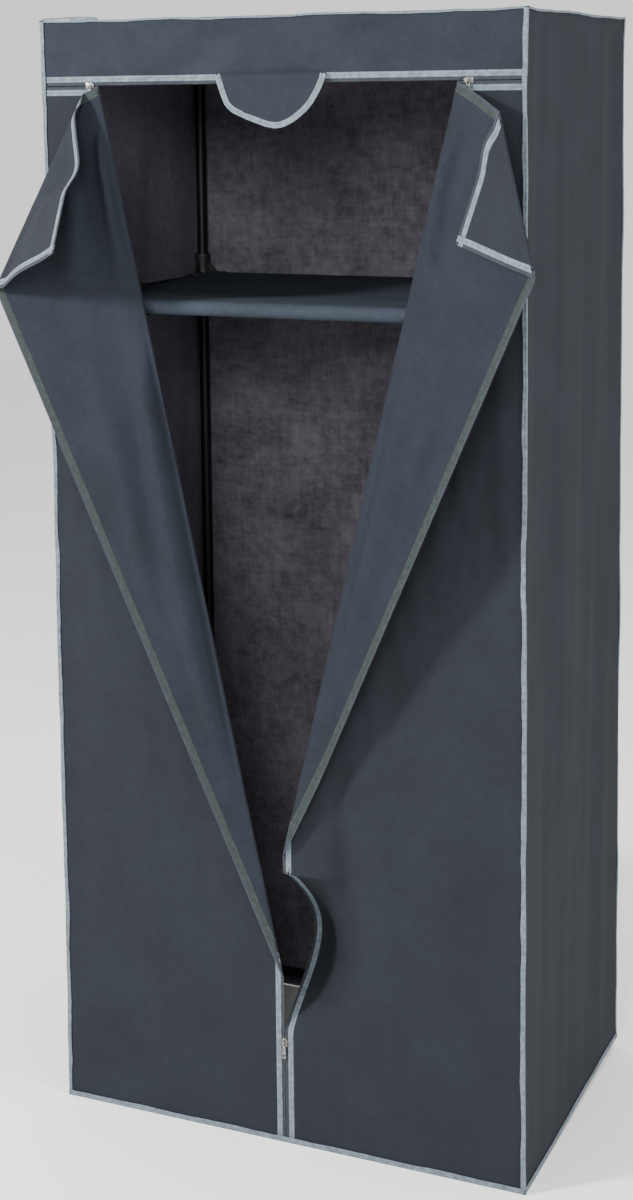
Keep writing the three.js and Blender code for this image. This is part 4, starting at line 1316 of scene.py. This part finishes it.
def webs(piece, place, ways):
    """Thin triangular ribs in the corners between neighbouring sleeves."""
    for i, first in enumerate(ways):
        for second in ways[i + 1:]:
            if abs(np.dot(first, second)) > 0.5:
                continue
            normal = np.cross(first, second)
            near, far = 0.009, 0.026
            corners = [(near, near), (far, near), (far, 0.0115), (0.0115, far), (near, far)]
            middle = np.array([place + first * a + second * b for a, b in corners])
            faces = [(0, 1, 2, 3, 4), (9, 8, 7, 6, 5)]
            faces += [(k, (k + 1) % 5, (k + 1) % 5 + 5, k + 5) for k in range(5)]
            piece.add(np.concatenate([middle - normal * HALF_RIB, middle + normal * HALF_RIB]), faces)


def dress_shelf():
    low, high = own_box("shelf_cloth")
    half = (high[0] - low[0]) / 2
    radius, thick = 0.0100, 0.0009
    x = np.linspace(-half, half, 60)
    gx, gy = np.meshgrid(x, np.linspace(-POST_Y, POST_Y, 44))
    sag = 0.007 * smoothstep(POST_Y - np.abs(gy), 0, POST_Y) * (1 - 0.5 * (gx / half) ** 2)
    ripples = 0.0008 * waves(gy, gx, 61, 6, 0.2, 0.04, 1.4) * smoothstep(POST_Y - np.abs(gy), 0, 0.05)
    grid = np.stack([gx, gy, SHELF_Z + radius - 0.0006 - sag + ripples], axis=-1)
    piece = Piece()
    shell(piece, grid, grid[..., :2], (0, 0, 1), thick)
    # The two turns of cloth round the front and rear rails
    for side in (-1, 1):
        angle, along_x = np.meshgrid(np.linspace(0, 2 * math.pi, 33), x)
        loop = radius * 0.97 * (1 + 0.02 * waves(along_x, angle * 0.02, 70 + side, 5, 0.12, 0.03, 1))
        away = np.stack([0 * angle, np.sin(angle), np.cos(angle)], axis=-1)
        centre = np.stack([along_x, 0 * angle + side * POST_Y, 0 * angle + SHELF_Z], axis=-1)
        flat = np.stack([along_x, side * (POST_Y + radius * angle)], axis=-1)
        shell(piece, centre + away * loop[..., None], flat, None, thick, normal=away)
    shelf = piece.make("shelf_sling", [LIT_SHELF_CLOTH, LINING], recalculate=False)
    stands_for(shelf, "shelf_cloth")
    size = (2 * half, 2 * POST_Y + 4 * math.pi * radius)


def dress_hooks():
    """Two clips on the shelf's side rails, with a cup below for the hanging rail."""
    wall = 0.003
    radius = BORE + wall / 2
    drop = SHELF_Z - 0.027
    for sx, side in ((-1, "left"), (1, "right")):
        name = f"rail_hook_{side}"
        x = sx * POST_X
        piece = Piece()
        for sweep, centre, shift in (((-50, 230, 29), SHELF_Z, 0), ((150, 390, 25), drop, 0.004)):
            turn = np.radians(np.linspace(*sweep))
            path = np.column_stack([0 * turn, radius * np.cos(turn), centre + radius * np.sin(turn)])
            hook_strap(piece, path, x - sx * shift, 0.011, wall)
        for y in (-0.0095, 0.0095):
            path = np.array([[0, y, z] for z in (SHELF_Z - 0.004, SHELF_Z - 0.014, drop + 0.004, drop)])
            hook_strap(piece, path, x, 0.007, wall)
        stands_for(piece.make(name + "_clip", [PLASTIC], smooth=40), name)


def hook_strap(piece, path, x, half, wall):
    path = path + [x, 0, 0]
    out = np.cross(directions(path), [1.0, 0, 0])
    b, w = 0.0006, wall / 2
    profile = [
        (-half, -w + b), (-half + b, -w), (half - b, -w), (half, -w + b),
        (half, w - b), (half - b, w), (-half + b, w), (-half, w - b),
    ]
    bar(piece, path, (1, 0, 0), out, profile)


# Sliders and tab


def plate(outline, holes, depth, rim, turn, place):
    """A flat plate cut to an outline in x and z, with softened edges: its points and faces."""
    data = bpy.data.curves.new("plate_outline", "CURVE")
    data.dimensions, data.fill_mode = "2D", "BOTH"
    for loop in (outline, *holes):
        spline = data.splines.new("POLY")
        spline.points.add(len(loop) - 1)
        spline.points.foreach_set("co", np.ravel([(x, z, 0, 1) for x, z in loop]))
        spline.use_cyclic_u = True
    data.extrude = depth / 2 - rim
    data.bevel_depth = rim
    data.bevel_resolution = 2
    data.offset = -rim
    lines = bpy.data.objects.new("plate_outline", data)
    bpy.context.scene.collection.objects.link(lines)
    mesh = baked(lines)
    points = points_of(mesh)[:, [0, 2, 1]] * [1, -1, 1]
    faces = [tuple(face.vertices) for face in mesh.polygons]
    bpy.data.meshes.remove(mesh)
    c, s = math.cos(turn), math.sin(turn)
    return points @ np.array([[c, 0, -s], [0, 1, 0], [s, 0, c]]) + place, faces


def arc(radius_x, radius_z, height, start=0, stop=360, steps=24):
    """Points round an ellipse at a height, from one angle to another."""
    turn = np.radians(np.linspace(start, stop, steps, endpoint=stop - start < 360))
    return [(radius_x * math.cos(t), height + radius_z * math.sin(t)) for t in turn]


def dress_slider(name, x, z, turn, length):
    """A slider's body, with wings, divider and bridge, and its pull."""
    half, end = 0.0043, 0.0065
    right = [(half - 0.0006, -end), (half, -end + 0.0008), (half, 0.0012), (half - 0.0004, 0.0030)]
    right += [(0.0020, end - 0.0006), (0.0012, end)]
    left = [(-across, up) for across, up in right[::-1]]
    wing = left[-1:] + right + [(0, end - 0.0012)] + left[:-1]
    piece = Piece()
    for off in (-0.0016, 0.0016):
        piece.add(*plate(wing, (), 0.0009, 0.00022, turn, (x, -WALL_Y + off, z)))
    for sx in (-1, 1):
        flange = [(sx * 0.0030, -end), (sx * 0.0041, -end), (sx * 0.0041, 0.0014), (sx * 0.0030, 0.0016)]
        flange = flange if sx > 0 else flange[::-1]
        for off in (-0.0009, 0.0009):
            piece.add(*plate(flange, (), 0.0007, 0.0001, turn, (x, -WALL_Y + off, z)))
    divider = arc(0.0008, 0.0022, 0.0036, steps=16)
    piece.add(*plate(divider, (), 0.0034, 0.0001, turn, (x, -WALL_Y, z)))
    bridge = [(0, -0.0030), (-0.0016, -0.0031), (-0.0028, -0.0026), (-0.0034, -0.0012), (-0.0036, 0.0)]
    bridge += [(y, -up) for y, up in bridge[-2::-1]]
    path = np.array([(x, y - WALL_Y - 0.0018, up + z) for y, up in bridge])
    across = (1.0, 0, 0)
    bar(piece, path, across, np.cross(directions(path), across), circle(10, 0.0008, 0.00045 / 0.0008))
    slider = piece.make(name + "_slider_body", [NICKEL], f"{name}_slider", smooth=35)
    stands_for(slider, f"{name}_slider")
    low, high = own_box(f"{name}_pull")
    hinge_y = (low[1] + high[1]) / 2
    h = 0.0029
    out = [(h, 0.0), (h - 0.0006, 0.0005), (-h + 0.0006, 0.0005), (-h, 0.0)]
    out += [(-0.0021, -0.006), (-0.0023, -0.010)]
    out += arc(h, h, h - length, 180, 360, 15)
    out += [(0.0023, -0.010), (0.0021, -0.006)]
    eye = [(0.0017, -0.0006), (0.0015, -0.0048), (-0.0015, -0.0048), (-0.0017, -0.0006)]
    hole = arc(0.00125, 0.0022, h - length + 0.0018, steps=18)[::-1]
    piece = Piece()
    piece.add(*plate(out, (eye, hole), 0.0010, 0.0002, 0.0, (x, hinge_y, z)))
    pull = piece.make(name + "_pull_tag", [NICKEL], f"{name}_pull", smooth=35)
    stands_for(pull, f"{name}_pull")


def smooth_path(points, steps):
    """A rounded path through a few corner points."""
    points = np.asarray(points, float)
    for _ in range(2):
        here, there = points[:-1], points[1:]
        cut = np.stack([here * 0.75 + there * 0.25, here * 0.25 + there * 0.75], axis=1)
        points = np.concatenate([points[:1], cut.reshape(-1, points.shape[1]), points[-1:]])
    gone = np.concatenate([[0], np.cumsum(np.linalg.norm(np.diff(points, axis=0), axis=1))])
    at = np.linspace(0, gone[-1], steps)
    return np.stack([np.interp(at, gone, points[:, k]) for k in range(points.shape[1])], axis=1)


TAB_EDGE = [
    (-0.0800, 1.4815), (-0.0790, 1.4770), (-0.0722, 1.4560), (-0.0625, 1.4350), (-0.0330, 1.4226),
    (-0.0015, 1.4118), (0.0140, 1.4118), (0.0285, 1.4171), (0.0425, 1.4262), (0.0565, 1.4378),
    (0.0695, 1.4570), (0.0785, 1.4757), (0.0790, 1.4815),
]
# Offsets from the tab's edge, and thickness there, of its bound edge, and the radius of its rolled top
TAB_BAND = np.array([-0.0003, 0, 0.0008, 0.0025, 0.0045, 0.0065, 0.0074, 0.0078])
TAB_BAND_THICK = np.array([0.9, 1.5, 1.9, 1.7, 1.7, 1.9, 1.6, 0.9]) * MM
TAB_ROLL, TAB_STITCH_ROWS = 0.0029, (0.0014, 0.0066)


def dress_tab():
    """The rounded tab over the middle of the top zip: bound all round, rolled at its hinge line."""
    low, high = own_box("valance_tab")
    y, top = low[1] + 0.0009, high[2] - 0.0015
    outline = smooth_path(TAB_EDGE, 90)
    centre = outline * [1, 0] + [0, top]
    flat = centre + (outline - centre) * np.linspace(0, 1, 22)[:, None, None]
    across, up = flat[..., 0], flat[..., 1]
    bow = 0.0016 * np.exp(-((across + 0.045 + (up - 1.43) * 0.5) / 0.010) ** 2)
    lift = (bow + 0.0007 * waves(across, up, 80, 5, 0.12, 0.03, 1)) * smoothstep(top - up, 0, 0.03)

    def place(flat_places, off):
        return np.stack([flat_places[..., 0], y + off, flat_places[..., 1]], axis=-1)

    piece = Piece()
    shell(piece, place(flat, lift), flat, OUT)
    tab = piece.make("tab_cloth", [LIT_VALANCE_CLOTH, LINING], "tab", recalculate=False)
    inward = directions(outline)[:, ::-1] * [-1, 1]
    band = outline[:, None] + inward[:, None] * TAB_BAND[:, None]
    edge = Piece()
    rise = np.broadcast_to(lift[-1][:, None], band.shape[:2])
    shell(edge, place(band, rise), band, OUT, TAB_BAND_THICK, (0, 1), OUT)
    rim = edge.make("tab_bound_edge", [TAPE, TAPE_BACK], "tab", recalculate=False)
    xs = np.linspace(low[0] + 0.0005, high[0] - 0.0005, 50)
    path = np.column_stack([xs, 0 * xs + high[1] - TAB_ROLL, 0 * xs + high[2] - TAB_ROLL])
    ends = np.clip(np.minimum(np.arange(50), np.arange(50)[::-1]) / 2.0, 0.3, 1)[:, None, None]
    rolled = Piece()
    bar(rolled, path, (0, 1, 0), (0, 0, 1), circle(16, TAB_ROLL) * ends)
    hinge = rolled.make("tab_rolled_top", [OUTER], "tab", smooth=60)
    lines = [
        place(outline + inward * step, lift[-1]) + OUT * side
        for step in TAB_STITCH_ROWS for side in (0.00095, -0.00095)
    ]
    stitches = stitches_along("tab_stitches", lines, THREAD, "tab")
    stands_for(tab, "valance_tab")
    declare(flat)


# Put together

place_camera()
area_light("left_key_light", (-1.9, -2.1, 2.4), (0.1, 0, 1.4), (0.4, 0.4), 185)
area_light("right_fill_light", (3.2, -0.9, 2.0), (0, 0, 1.2), (1.0, 1.0), 84)
area_light("camera_side_light", (0.9, -3.0, 2.15), (0.1, 0.1, 1.5), (0.8, 0.8), 58)
area_light("overhead_light", (0.0, 0.2, 3.8), (0, 0, 0.6), (3.2, 3.2), 50)

dress_walls()
dress_top()
dress_valance()
dress_bindings()
dress_frame()
dress_connectors()
dress_shelf()
dress_hooks()
for wardrobe_door in DOORS:
    dress_door(wardrobe_door)
dress_tab()
dress_slider("centre", 0.0, 0.148, 0.0, 0.024)
dress_slider("top_left", -0.273, ZIP_Z, math.pi / 2, 0.019)
dress_slider("top_right", 0.272, ZIP_Z, -math.pi / 2, 0.019)
lay_floor()
pale_world()
